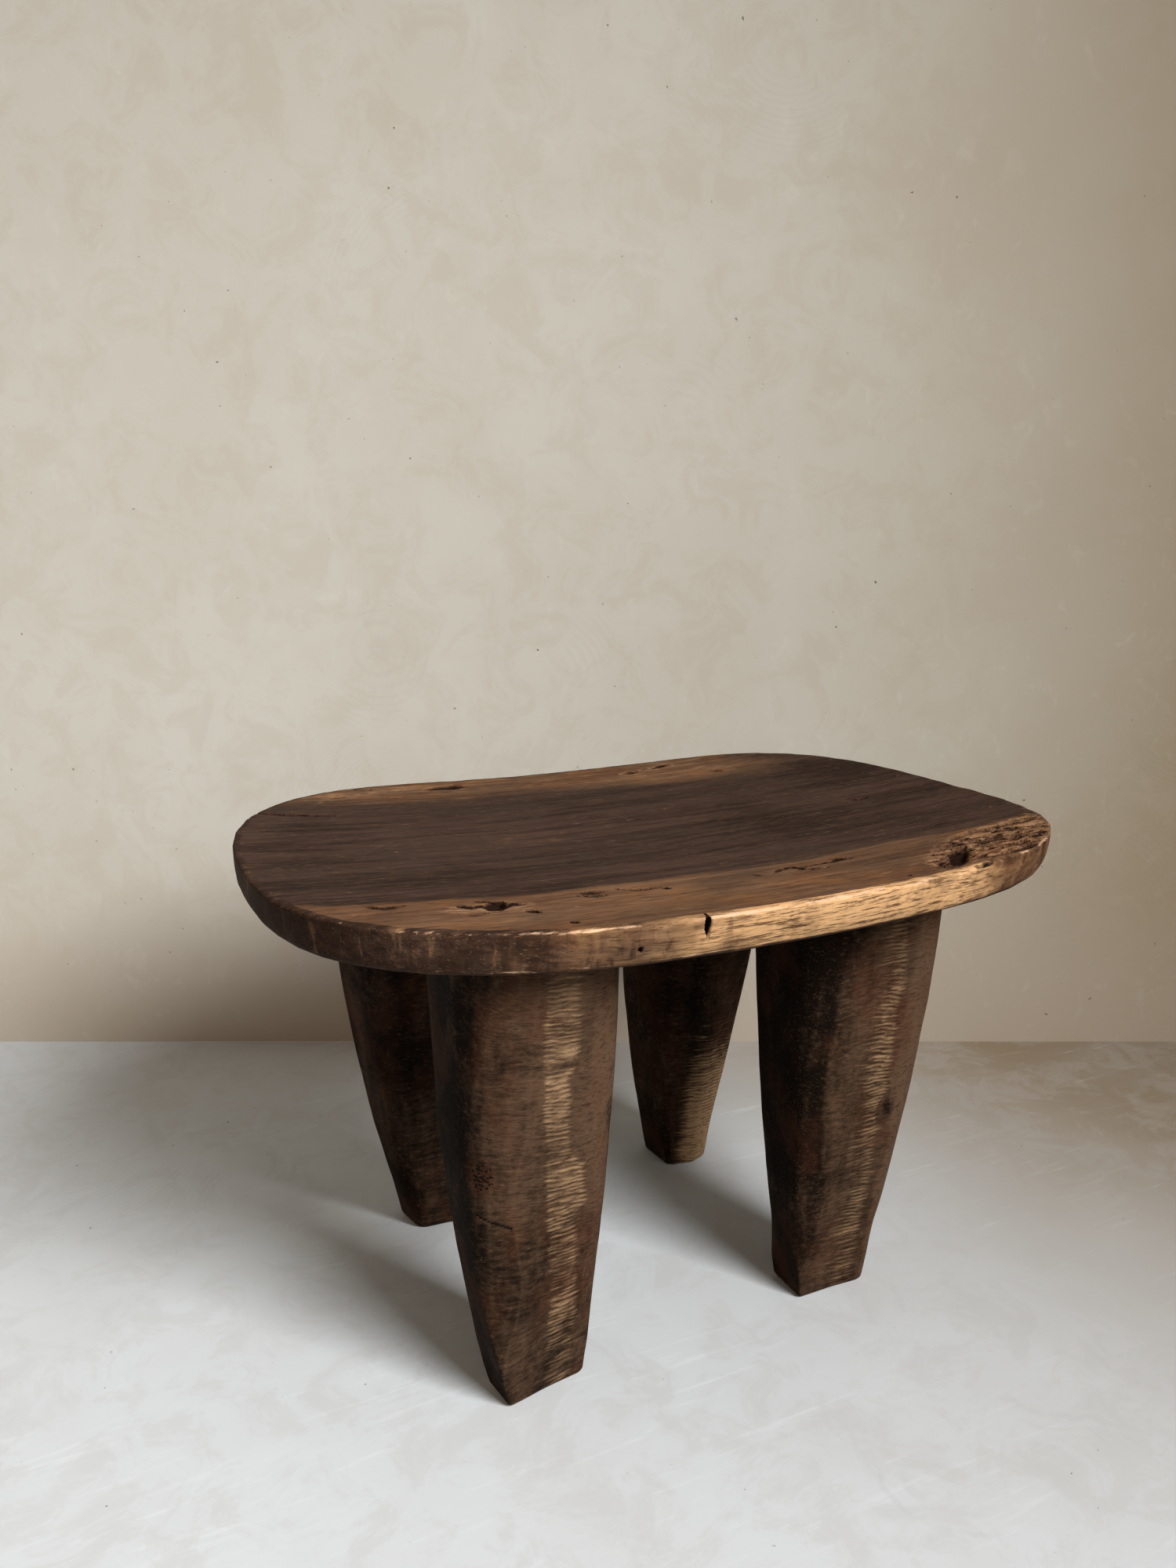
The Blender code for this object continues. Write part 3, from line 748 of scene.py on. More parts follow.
def carve(spots, seed):
    """How deep the seat's top is hollowed, how dark it is there, and how splintered.

    Each pit is its depth times a step of the distance inside its ragged
    outline. Each groove is its depth times one minus the cube of the distance
    over its reach, which is uneven and narrows to the ends. Decayed places get
    ridged noise along the grain. The darkness passes one half about where a
    pit or groove begins.
    """
    flat = in_plan(spots[:, :2])
    plan = flat[:, :2]
    ragged = np.column_stack([noise_of(f"ragged {way}", flat, seed) for way in ("along", "across")])
    depth, dark, splinters, raised = np.zeros((4, len(plan)))
    for corners, deep, wall, shade in PITS:
        within = inside_distance(plan + ragged, corners)
        floor = 0.70 + noise_of("pit floor", flat, seed)
        depth = np.maximum(depth, deep * floor * step_between(within, -0.35 * wall, wall))
        dark = np.maximum(dark, shade * np.clip(0.5 + within / 4, 0, 1))
    torn = 0.55 * ragged
    torn[:, 1] += noise_of("torn across", flat, seed)
    uneven = 0.95 + noise_of("groove reach", flat, seed)
    for path, half, deep, shade in GROOVES:
        away, along = path_distance(plan + torn, path)
        narrowing = 1 - 0.65 * (2 * along - 1) ** 2
        reach = GROOVE_SPREAD * half * np.clip(uneven, 0.35, 1.6) * narrowing
        depth = np.maximum(depth, GROOVE_SPREAD * deep * np.clip(1 - (away / reach) ** 3, 0, 1))
        dark = np.maximum(dark, shade * np.clip(0.55 + (reach - away) / 3, 0, 1))
    for corners, strength, number in DECAY:
        within = step_between(inside_distance(plan + 2 * ragged, corners), 0, 8)
        ridges = 1 - np.abs(noise_of("fine splinters", flat, seed + number))
        cut = step_between(ridges, 0.70, 1.0)
        broad = step_between(noise_of("broad splinters", flat, seed + number), -0.2, 0.7)
        share = min(1.0, strength / FULL_DECAY)
        depth = np.maximum(depth, 0.60 * strength * within * (cut + broad))
        dark = np.maximum(dark, 0.52 * within * share * cut)
        splinters = np.maximum(splinters, within * share)
        raised = np.maximum(raised, within * strength * np.clip(0.3 - broad, 0, 1))
    return (depth - 0.6 * raised) * MILLIMETRE, dark, splinters


def near_rim_cuts(spots, z, edge_top):
    """How deep the slit and the worm hole go into the near side of the rim.

    The slit's half width is a sine of how far down it is, and its depth falls
    with the square of the share of that half. The hole is a step of the
    distance from its middle.
    """
    x, y = spots.T
    drop = edge_top - z
    down = np.clip(drop / SLIT_HEIGHT, 0, 1)
    middle = SLIT_X - SLIT_WAVE * np.sin(drop / SLIT_WAVE_LENGTH)
    half = SLIT_HALF_WIDTH * np.sin(math.pi * down**0.6) + SLIT_LEAST_HALF
    slit = SLIT_DEPTH * np.clip(1 - ((x - middle) / half) ** 2, 0, 1) * (down < 1)
    away = np.hypot(x - WORM_HOLE_X, z - WORM_HOLE_Z)
    hole = WORM_HOLE_DEPTH * step_between(-away, -WORM_HOLE_MOUTH, -WORM_HOLE_FLOOR)
    return np.maximum(slit, hole) * (y < 0)


def seat_rim(settings, seed):
    """The rim in plan: its places, the ways inward, and how the slab changes round it."""
    half_length, half_width = settings.length / 2, settings.width / 2
    outline, run = seat_outline(settings.length, settings.width)
    turned = np.arctan2(outline[:, 1], outline[:, 0])

    def run_at(x, y):
        """How far round the outline the place lies that is seen from the middle towards x, y."""
        away = np.abs(np.angle(np.exp(1j * (turned - math.atan2(y, x)))))
        return float(run[np.argmin(away)])

    start, end = (run_at(*spot) for spot in NEAR_STRETCH)
    stretches = [((start + end) / 2, (end - start) / 2, NEAR_STEP_SHARE)]
    stretches += [(run_at(*spot), reach, share) for spot, reach, share in FINE_SPOTS]
    places = spaced(run[-1], stretches, RIM_STEP)
    smooth = on_outline(outline, run, places)
    heading = on_outline(outline, run, (places + LOOK_AHEAD) % run[-1]) - smooth
    heading /= np.hypot(*heading.T)[:, None]
    inward = np.column_stack((-heading[:, 1], heading[:, 0]))
    crest = smooth + inward * EDGE_REACH * settings.edge_wear
    middle = settings.height - top_rise(*crest.T, half_length, half_width).max()

    def flats_at(slant):
        """The hewn flats at a share of the rim's height."""
        return hewn_edge(outline, run, places, slant, settings.flat_width, seed + 5)

    x, y = smooth.T
    near_side = step_between(-y, 0.06, 0.13) * step_between(-np.abs(x), -0.21, -0.16)
    flat = in_plan(smooth)
    wandering = 0.85 + noise_of("edge wear", flat, seed) + 0.25 * near_side
    wandering = wandering + noise_of("fine edge wear", flat, seed)
    return SimpleNamespace(
        smooth=smooth,
        inward=inward,
        flats_at=flats_at,
        half_length=half_length,
        half_width=half_width,
        middle=middle,
        near_side=near_side,
        lean=RIM_LEAN_AT_SIDES * (y / half_width) ** 2,
        wear=settings.edge_wear * wandering,
        top_z=middle + top_rise(x, y, half_length, half_width),
        foot_z=underside_height(x, middle, half_length) + UNDER_EDGE_HEIGHT
        + UNDER_EDGE_RAGGED * noise_of("ragged foot", flat, seed),
    )


def underside_height(x, middle, half_length):
    """The underside: the dish's middle less the slab's thickness, plus a rise with the square of x."""
    return middle - SEAT_MID_THICKNESS + UNDERSIDE_RISE_ALONG * (x / half_length) ** 2


def underside_rings(rim, seed):
    """Rings below, each a share of the lower edge, on the underside's height plus slow waves."""
    rings = []
    edge = rim.flats_at(0.0)[0] + rim.inward * (rim.lean + UNDER_EDGE_INSET)[:, None]
    for share in UNDERSIDE_SHARES:
        flat = edge * share
        waves = MILLIMETRE * noise_of("underside waves", in_plan(flat), seed)
        z = underside_height(flat[:, 0], rim.middle, rim.half_length) + waves * min(1.0, 3 * share)
        rings.append(np.column_stack((flat, z)))
    return rings


def side_rings(rim, seed):
    """Rings up the hewn rim, and each flat's shade.

    A ring's inset is the lean below times one minus its share of the height,
    less a swell of four times the share times one minus it, plus slow waves,
    a small chamfer at the foot and the cuts.
    """
    rings, shades = [], []
    head_z = rim.top_z - rim.wear
    for share in RIM_SHARES:
        edge, tones = rim.flats_at(share)
        z = rim.foot_z + (head_z - rim.foot_z) * share
        swell = RIM_SWELL * 4 * share * (1 - share) * rim.lean / RIM_LEAN_AT_SIDES
        waves = noise_of("rim waves", np.column_stack((rim.smooth, z)) / MILLIMETRE, seed)
        inset = rim.lean * (1 - share) - swell + MILLIMETRE * waves + SURFACE_INSET
        inset = inset + UNDER_EDGE_CHAMFER * (1 - share) ** 6
        inset = inset + near_rim_cuts(rim.smooth, z, rim.top_z)
        rings.append(np.column_stack((edge + rim.inward * inset[:, None], z)))
        shades.append(tones)
    return rings, shades


def edge_rings(rim, seed):
    """Rings over the worn upper edge, a quarter ellipse that is chipped on the near side.

    It goes in by the wear times one minus the cosine of its turn, and down by
    the wear times one minus the sine.
    """
    rings = []
    edge, __ = rim.flats_at(1.0)
    for share in EDGE_SHARES:
        turn = share * math.pi / 2
        inset = SURFACE_INSET + EDGE_REACH * rim.wear * (1 - math.cos(turn))
        plan = edge + rim.inward * inset[:, None]
        z = rim.middle + top_rise(*plan.T, rim.half_length, rim.half_width)
        z = z - rim.wear * (1 - math.sin(turn))
        patches = noise_of("chips", np.column_stack((plan, z)) / MILLIMETRE, seed)
        chips = step_between(patches, 0.25, 0.75)
        z = z - 0.9 * MILLIMETRE * chips * rim.near_side * math.sin(turn) * (1.25 - share)
        cut = near_rim_cuts(rim.smooth, z, rim.top_z) * step_between(-share, -0.5, -0.1)
        rings.append(np.column_stack((plan + rim.inward * cut[:, None], z)))
    return rings


def top_rings(rim, crest):
    """Rings from the crest in over the dish, each a share of an outline that soon gets smooth."""
    rings = []
    smooth = rim.smooth + rim.inward * (EDGE_REACH * rim.wear + SURFACE_INSET)[:, None]
    for share in TOP_SHARES:
        hewn = step_between(share, 0.93, 1.0)
        plan = (hewn * crest + (1 - hewn) * smooth) * share
        z = rim.middle + top_rise(*plan.T, rim.half_length, rim.half_width)
        rings.append(np.column_stack((plan, z)))
    return rings


def seat_surface(settings, seed):
    """The seat as rings, the part that each ring belongs to, and its marks.

    The rings run over the underside, up the rim, over the upper edge and in
    over the top. Each is lowered by the carved hollows as far as it faces up.
    """
    rim = seat_rim(settings, seed)
    under = underside_rings(rim, seed)
    side, shades = side_rings(rim, seed)
    edge = edge_rings(rim, seed)
    top = top_rings(rim, edge[-1][:, :2])
    rings = np.array(under + side + edge + top)
    kinds = np.repeat(PARTS, (len(under), len(side), len(edge), len(top)))
    shape = rings.shape[:2]
    upward = np.concatenate((np.zeros(len(under) + len(side)), EDGE_UPWARD, np.ones(len(top))))
    upward = np.repeat(upward, shape[1])

    spots = rings.reshape(-1, 3)
    flat = in_plan(spots[:, :2])
    waves = noise_of("broad top waves", flat, seed) + noise_of("fine top waves", flat, seed)
    waves = waves * MILLIMETRE
    depth, dark, splinters = carve(spots, seed)
    spots[:, 2] += upward * (waves - TOP_BELOW_FRAME - depth)
    spots[:, 2] = np.minimum(spots[:, 2], settings.height - LEAST_BELOW_BOX)
    away, __ = path_distance(spots[:, :2] / MILLIMETRE, NOTCH_PATH)
    notch = NOTCH_DEPTH * np.clip(1 - (away / NOTCH_HALF_WIDTH) ** 2, 0, 1)
    notch = notch * np.repeat(kinds != "under", shape[1]) * (1 - upward)
    spots[:, :2] += notch[:, None] * np.array(NOTCH_WAY)

    hollow = (dark * step_between(upward, 0.3, 0.8)).reshape(shape)
    for row in np.flatnonzero(np.isin(kinds, SIDE_PARTS)):
        cut = near_rim_cuts(rim.smooth, rings[row, :, 2], rim.top_z)
        hollow[row] = np.maximum(hollow[row], np.clip(cut / CUT_DARK_DEPTH, 0, 1))
    hollow = np.maximum(hollow, np.clip(notch / NOTCH_DARK_DEPTH, 0, 1).reshape(shape))
    tone = np.full(shape, 0.5)
    tone[kinds == "rim"] = shades
    tone = tone - 0.20 * step_between(-rim.smooth[:, 0], 0.085, 0.135)
    marks = {
        "hollow": hollow,
        "splinters": (splinters * upward).reshape(shape),
        "tone": tone,
        "rim": np.isin(kinds, SIDE_PARTS)[:, None] * np.ones(shape),
    }
    return rings, kinds, marks


# Where the sapwood, the pale rim and the rubbed edge lie. Rows are (x, value),
# in millimetres and, but for the two lines, shares.
NEAR_HEART_LINE = (
    (-230, -74), (-222, -76), (-190, -86), (-163, -87), (-144, -87), (-120, -92), (-97, -93),
    (-70, -90.5), (-47, -92.5), (-20, -92), (15, -95.5), (52, -96.5), (90, -93), (115, -93.5),
    (150, -96), (230, -94),
)
FAR_HEART_LINE = (
    (-230, 128), (-180, 124), (-120, 119), (-17, 117), (86, 97), (160, 88), (201, 68), (230, 40),
)
RIM_SAP = (
    (-230, 0.04), (-190, 0.08), (-165, 0.14), (-140, 0.22), (-110, 0.42), (-88, 0.54), (-50, 0.78),
    (-7, 1.0), (40, 1.0), (90, 0.95), (120, 0.74), (150, 0.46), (200, 0.36), (230, 0.28),
)
RUBBED_EDGE = (
    (-215, 0.10), (-185, 0.42), (-150, 0.62), (-110, 0.92), (-50, 1.0), (40, 0.95), (80, 0.75),
    (120, 0.70), (150, 0.45), (172, 0.70), (195, 0.35), (215, 0.0),
)
EDGE_RUBBED_SHARES = (0.40, 0.85, 1.0, 0.70, 0.15, 0.0)
RIM_HEAD_RUBBED_SHARE = 0.15
RIM_FOOT_RUBBED_SHARE = 0.70
UNDERSIDE_SAP = 0.15


def seat_tones(rings, kinds, seed):
    """How much sapwood and how much rubbed-off patina there is at each place of the seat.

    On the top, sapwood is a step of the distance past the near or the far
    heart line, which wander. On the rim it is read off a table along x. The
    patina is rubbed off by the edge's shares times the rubbed edge's table
    times noise, and along the rim's foot.
    """
    spot = rings / MILLIMETRE
    x, y, __ = np.moveaxis(spot, -1, 0)
    wander = noise_of("heart line", spot, seed) + noise_of("fine heart line", spot, seed)
    near_sap = step_between(read_off(NEAR_HEART_LINE, x) - y + wander, -3, 4)
    far_sap = step_between(y - read_off(FAR_HEART_LINE, x) + 2.0 * wander, -14, 18)
    far_sap = far_sap * step_between(-x, -215, -110)
    sap = np.maximum((0.46 + 0.06 * step_between(-y, 118, 150)) * near_sap, 0.56 * far_sap)
    rim_sap = read_off(RIM_SAP, x) * step_between(-y, 20, 110) + 0.30 * step_between(y, 60, 150)
    rim_sap = rim_sap + noise_of("rim sapwood", spot, seed)
    sap = np.where(np.isin(kinds, SIDE_PARTS)[:, None], rim_sap, sap)
    sap = np.where((kinds == "under")[:, None], UNDERSIDE_SAP, sap)

    rubbed = np.clip(0.5 + noise_of("rubbed edge", spot, seed), 0, 1)
    along = read_off(RUBBED_EDGE, x) * step_between(-y, 40, 110)
    edge_share = np.zeros(len(kinds))
    edge_share[kinds == "edge"] = EDGE_RUBBED_SHARES
    rim_rows = np.flatnonzero(kinds == "rim")
    edge_share[rim_rows[-1]] = RIM_HEAD_RUBBED_SHARE
    wear = edge_share[:, None] * (0.12 + 0.88 * along) * (0.28 + 0.90 * rubbed)
    seen = step_between(-y, 60, 120) * step_between(-x, -120, 0) * step_between(x, -200, -150)
    foot_wear = RIM_FOOT_RUBBED_SHARE * (0.35 + 0.6 * rubbed) * seen
    wear[rim_rows[0]] = np.maximum(wear[rim_rows[0]], foot_wear[rim_rows[0]])
    return np.clip(sap, 0, 1), np.clip(wear, 0, 1)


# Legs
def bellied(foot, top, share, belly):
    """Foot plus (top - foot) times 1 - (1 - share)^belly."""
    return foot + (top - foot) * (1 - (1 - share) ** belly)


def leg_section(leg, share, half_length, half_width, angles):
    """One section of a leg about its middle, and where that lies.

    It is a superellipse between the outer and the inner faces, which belly out
    between foot and top, turned by the foot's turn times (1 - share)^2.
    """
    spans = []
    for axis, reach in enumerate((half_length, half_width)):
        foot_outer = reach - leg["foot_inset"][axis]
        top_outer = reach - leg["top_inset"][axis]
        outer_belly, inner_belly = leg["bellies"][2 * axis : 2 * axis + 2]
        outer = bellied(foot_outer, top_outer, share, outer_belly)
        inner = bellied(
            foot_outer - leg["foot_size"][axis], top_outer - leg["top_size"][axis], share, inner_belly
        )
        spans.append((outer, inner))
    squareness = leg["squareness"] + (LEG_TOP_SQUARENESS - leg["squareness"]) * math.sqrt(share)
    section = squared_oval(angles, squareness)
    section = section * [(outer - inner) / 2 for outer, inner in spans]
    turn = math.radians(leg["foot_turn"]) * (1 - share) ** 2
    cosine, sine = math.cos(turn), math.sin(turn)
    section = section @ np.array([[cosine, sine], [-sine, cosine]])
    middle = np.array([side * (o + i) / 2 for side, (o, i) in zip(leg["side"], spans)])
    return section, middle


def hewn_section(section, angles, headings, dips, tones, flat_share):
    """The radius towards each angle of a section hewn to flats, its tone and how near a ridge is.

    A flat with heading h at distance d lies at d / cos(angle - h). The flats
    are joined with a power mean of their nearness, so their ridges are a
    little blunt, and mixed with the round section.
    """
    around = np.arctan2(section[:, 1], section[:, 0])
    order = np.argsort(around)
    turned = around[order]
    wrapped = np.concatenate((turned - 2 * math.pi, turned, turned + 2 * math.pi))
    round_radius = np.interp(angles, wrapped, np.tile(np.hypot(*section.T)[order], 3))
    normals = np.column_stack((np.cos(headings), np.sin(headings)))
    reach = (section @ normals.T).max(axis=0) - dips
    nearness = np.clip(np.cos(angles[:, None] - headings[None]), 0, None) / reach
    flat_radius = (nearness**RIDGE_POWER).sum(axis=1) ** (-1 / RIDGE_POWER)
    pull = (nearness * flat_radius[:, None]) ** RIDGE_POWER
    wide_pull = pull**TONE_SPREAD
    tone = (wide_pull * tones).sum(axis=1) / wide_pull.sum(axis=1)
    ridge = 1 - step_between(pull.max(axis=1), *RIDGE_PULLS)
    return flat_share * flat_radius + (1 - flat_share) * round_radius, tone, ridge


def leg_surface(leg, number, seat, hewing, seed, around, levels):
    """A leg as rings from its foot up into the seat, hewn to flats that wander a little.

    Each flat sways about its heading and is hollowed by slow noise up the leg.
    The leg flares where it meets the seat, and its foot is a little blunt.
    """
    half = seat.length / 2, seat.width / 2
    middle_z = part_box("seat")[0].z + SEAT_MID_THICKNESS
    full_height = underside_height(half[0], middle_z, half[0]) + LEG_CUT_OVERRUN
    dense = np.linspace(0, 2 * math.pi, SECTION_SAMPLES, endpoint=False)
    angles = np.linspace(-math.pi, math.pi, around, endpoint=False)
    top_heading, foot_heading, lift, tones = np.array(leg["flats"], float).T
    order = np.arange(len(tones)) * FLAT_APART
    __, top_middle = leg_section(leg, LEG_HEAD_SHARE, *half, dense)
    reach_z = underside_height(top_middle[0], middle_z, half[0]) + LEG_INTO_SEAT
    heights = np.concatenate(
        (
            np.linspace(0, FOOT_BLUNT_HEIGHT, FOOT_LEVELS),
            np.linspace(FOOT_BLUNT_HEIGHT, reach_z - LEG_HEAD_HEIGHT, levels)[1:],
            np.linspace(reach_z - LEG_HEAD_HEIGHT, reach_z, HEAD_LEVELS)[1:],
        )
    )
    rings, shades, ridges = [], [], []
    for z in heights:
        share = z / full_height
        section, middle = leg_section(leg, share, *half, dense)
        headings = np.radians(top_heading + (foot_heading - top_heading) * (1 - share) ** 3)
        along = np.full(len(order), z / MILLIMETRE)
        spot = np.column_stack((order, along, np.full(len(order), number * LEG_APART)))
        sway = FLAT_SWAY * noise_of("flat sway", spot, seed) * min(1.0, 3 * share)
        hollows = 0.6 + noise_of("long hollows", spot, seed) + noise_of("short hollows", spot, seed)
        low = 1 - step_between(z, 0.0, leg["corner_height"])
        dips = hewing.scallop * hollows - lift * MILLIMETRE * low
        flatness = hewing.flat_share + (1 - hewing.flat_share) * low
        radius, shade, ridge = hewn_section(section, angles, headings + sway, dips, tones, flatness)
        shades.append(shade * (1 - leg["foot_dim"] * (1 - step_between(z, *FOOT_DIM_HEIGHTS))))
        ridges.append(ridge)
        blunt = FOOT_BLUNT * (1 - min(z / FOOT_BLUNT_HEIGHT, 1.0)) ** 2
        near_seat = np.clip((z - reach_z) / FLARE_HEIGHT + 1, 0, 1)
        radius = LEG_SHRINK * radius - blunt + hewing.flare * near_seat**3
        ring = middle + radius[:, None] * np.column_stack((np.cos(angles), np.sin(angles)))
        rings.append(np.column_stack((ring, np.full(around, z))))
    return np.array(rings), angles, np.array(shades), np.array(ridges)


# Cracks in the front left leg: path in millimetres, half width, depth
LEG_CRACKS = (
    (((-144, -102, 124.5), (-139, -105, 121), (-133, -107, 118), (-126, -108, 114)), 0.8, 0.7),
    (((-134, -111, 160), (-126, -112, 160.5), (-118, -112, 161)), 0.6, 0.25),
)
WORM_PATCH = (-141, -106, 146)
WORM_PATCH_SIZE = (9, 9, 13)
KNOT = (111.8, -101.4, 122.6)
KNOT_SIZE = (7, 9, 10)

# The golden strips of the front legs, where hands rub them and where a painted
# highlight lightens the faces turned to the light. Rows are (height, value) in
# millimetres and shares: the strip's middle in x, how far it reaches to the right
# of it, and how golden it is. The right leg's painted black shadow ends at a
# border in x and has its own strength.
LEFT_STRIP_MIDDLE = ((20, -95), (60, -94), (140, -99.5), (230, -105), (260, -106))
LEFT_STRIP_REACH = (
    (0, 8.5), (60, 8.5), (105, 6.5), (118, 12), (142, 12), (152, 4.5), (196, 4.5), (206, 10), (262, 10),
)
LEFT_STRIP_GOLD = (
    (0, 0.40), (30, 0.55), (60, 0.63), (100, 0.60), (125, 0.75), (150, 0.70), (196, 0.89),
    (202, 0.52), (208, 0.74), (240, 0.69), (262, 0.53),
)
RIGHT_STRIP_MIDDLE = ((20, 97), (47, 98), (93, 100), (144, 104.7), (205, 106), (260, 107))
RIGHT_STRIP_GOLD = ((0, 0.62), (40, 0.66), (90, 0.62), (140, 0.62), (200, 0.64), (262, 0.55))
SHADOW_BORDER = ((0, 53), (100, 58), (165, 63), (200, 69), (250, 81))
SHADOW_STRENGTH = ((20, 0.12), (110, 0.50), (170, 0.95))
FRONT_FACE_Y = -80
LEG_MARKS = ("wear", "hollow", "worm")


def uneven(gold, spot, wander, seed):
    """Gold times 0.80 plus shares of the slow wander and of patches."""
    return gold * (0.80 + 0.15 * wander + 0.30 * noise_of("gold patches", spot, seed))


def front_left_marks(spot, wander, seed):
    """The front left leg's cracks, worm pits, golden strip, partly a painted highlight, and stains.

    A crack's depth is one minus the square of the distance from its path over
    its half width. The strip is a step up from its left and down to its right,
    and blots and a dark corner stain the wood beside it.
    """
    x, y, z = spot.T
    depth, hollow = np.zeros((2, len(spot)))
    for path, half, deep in LEG_CRACKS:
        shaken = spot + noise_of("crack shake", spot, seed)[:, None]
        away, __ = path_distance(shaken, path)
        cut = np.clip(1 - (away / half) ** 2, 0, 1)
        depth = depth + deep * cut
        hollow = np.maximum(hollow, cut)
    worm = step_between(-np.linalg.norm((spot - WORM_PATCH) / WORM_PATCH_SIZE, axis=1), -1.25, -0.35)
    side = x - read_off(LEFT_STRIP_MIDDLE, z) + 2.5 * wander
    reach = read_off(LEFT_STRIP_REACH, z)
    gold = step_between(side, -11.5, -6.5) * step_between(-side, -reach - 5, 2 - reach)
    gold = gold * (y < FRONT_FACE_Y) * read_off(LEFT_STRIP_GOLD, z)
    blots = step_between(noise_of("blots", spot, seed), 0.05, 0.45)
    stain = 0.55 * blots * step_between(side, 13, 20)
    corner = 0.45 * step_between(-x, 137, 143) * step_between(-x, -149, -145)
    marks = {"wear": uneven(gold, spot, wander, seed), "hollow": hollow, "worm": worm}
    return depth + 0.4 * worm, marks, np.maximum(stain, corner)


def front_right_marks(spot, wander, seed):
    """The front right leg's knot, soft golden strip, partly a painted highlight, and painted black shadow.

    The knot is rings, the cosine of the distance from its middle, which fade
    out. The strip and the shadow are steps along x.
    """
    x, y, z = spot.T
    away = np.linalg.norm((spot - KNOT) / KNOT_SIZE, axis=1)
    rings = np.cos(np.clip(away, 0, 1.5) * 2 * math.pi)
    depth = 0.5 * rings * step_between(-away, -1.5, -0.9)
    side = x - read_off(RIGHT_STRIP_MIDDLE, z) + 2.5 * wander
    gold = step_between(side, -24, -1) * step_between(-side, -13, -2) * (y < FRONT_FACE_Y)
    gold = gold * read_off(RIGHT_STRIP_GOLD, z) * step_between(away, 0.7, 1.3)
    knot_stain = 0.75 * np.exp(-((away / 0.8) ** 2))
    # Painted shadow: the leg's left side is darkened towards black; it goes on as stain.
    border = read_off(SHADOW_BORDER, z) + 3 * wander
    shadow = step_between(border - x, -16, 5) * read_off(SHADOW_STRENGTH, z)
    return depth, {"wear": uneven(gold, spot, wander, seed)}, np.maximum(knot_stain, shadow)


def back_light_and_shade(spot, wander, seed, middle, lit_low_down):
    """A back leg's painted light and painted shade on the side towards the front legs: golden painted
    light low down, painted shade above.
    """
    x, y, z = spot.T
    inward = step_between(middle[:, 1] - y, 4, 16)
    low = 1 - step_between(z + 18 * wander, 40, 135)
    gold = np.zeros(len(spot))
    # Painted light: golden low down, where the light reaches in under the seat.
    if lit_low_down:
        patches = noise_of("gold patches", spot, seed)
        gold = inward * low * step_between(x - middle[:, 0], -18, 2) * (1.05 + 0.4 * patches)
    # Painted shade above, under the seat, which goes on as stain.
    return np.zeros(len(spot)), {"wear": gold}, 0.55 * inward * (1 - low)


def leg_marks(name, rings, seed):
    """How deep each place of a leg lies, how much stains and painted shade darken it, and its marks."""
    spot = rings.reshape(-1, 3) / MILLIMETRE
    wander = noise_of("strip wander", spot, seed)
    if name == "leg_front_left":
        depth, marks, stain = front_left_marks(spot, wander, seed)
    elif name == "leg_front_right":
        depth, marks, stain = front_right_marks(spot, wander, seed)
    else:
        middle = spot.reshape(rings.shape).mean(axis=1).repeat(rings.shape[1], axis=0)
        depth, marks, stain = back_light_and_shade(spot, wander, seed, middle, name == "leg_back_right")
    depth = depth + noise_of("leg dents", spot, seed)
    shape = rings.shape[:2]
    blank = np.zeros(len(spot))
    marks = {key: np.clip(marks.get(key, blank), 0, 1).reshape(shape) for key in LEG_MARKS}
    return (depth * MILLIMETRE).reshape(shape), stain.reshape(shape), marks


# Materials. Colours laid over the wood are linear red, green and blue.
SEAT_TINTS = SimpleNamespace(
    orange=(0.175, 0.078, 0.030),
    ash=(0.082, 0.054, 0.036),
    soot=(0.024, 0.017, 0.013),
    dark_flat=(0.022, 0.0115, 0.0070),
    bright_flat=(0.205, 0.118, 0.052),
    line=(0.055, 0.023, 0.012),
    dash=(0.026, 0.013, 0.008),
    fleck=(0.21, 0.12, 0.060),
    fibre=(0.27, 0.155, 0.080),
    lifted_fibre=(0.270, 0.155, 0.085),
    stain=(0.050, 0.023, 0.014),
    gap=(0.010, 0.0050, 0.0032),
)
LEG_TINTS = SimpleNamespace(
    red=(0.052, 0.018, 0.009),
    dark_line=(0.030, 0.016, 0.008),
    dash=(0.012, 0.007, 0.0045),
    glint=(0.140, 0.078, 0.038),
    speck=(0.14, 0.085, 0.045),
    worm_dust=(0.055, 0.020, 0.010),
    gap=(0.006, 0.004, 0.003),
)
WOOD_SPECULAR = 0.022
PLASTER_SPECULAR = 0.20
PLASTER_ROUGHNESS = 0.80


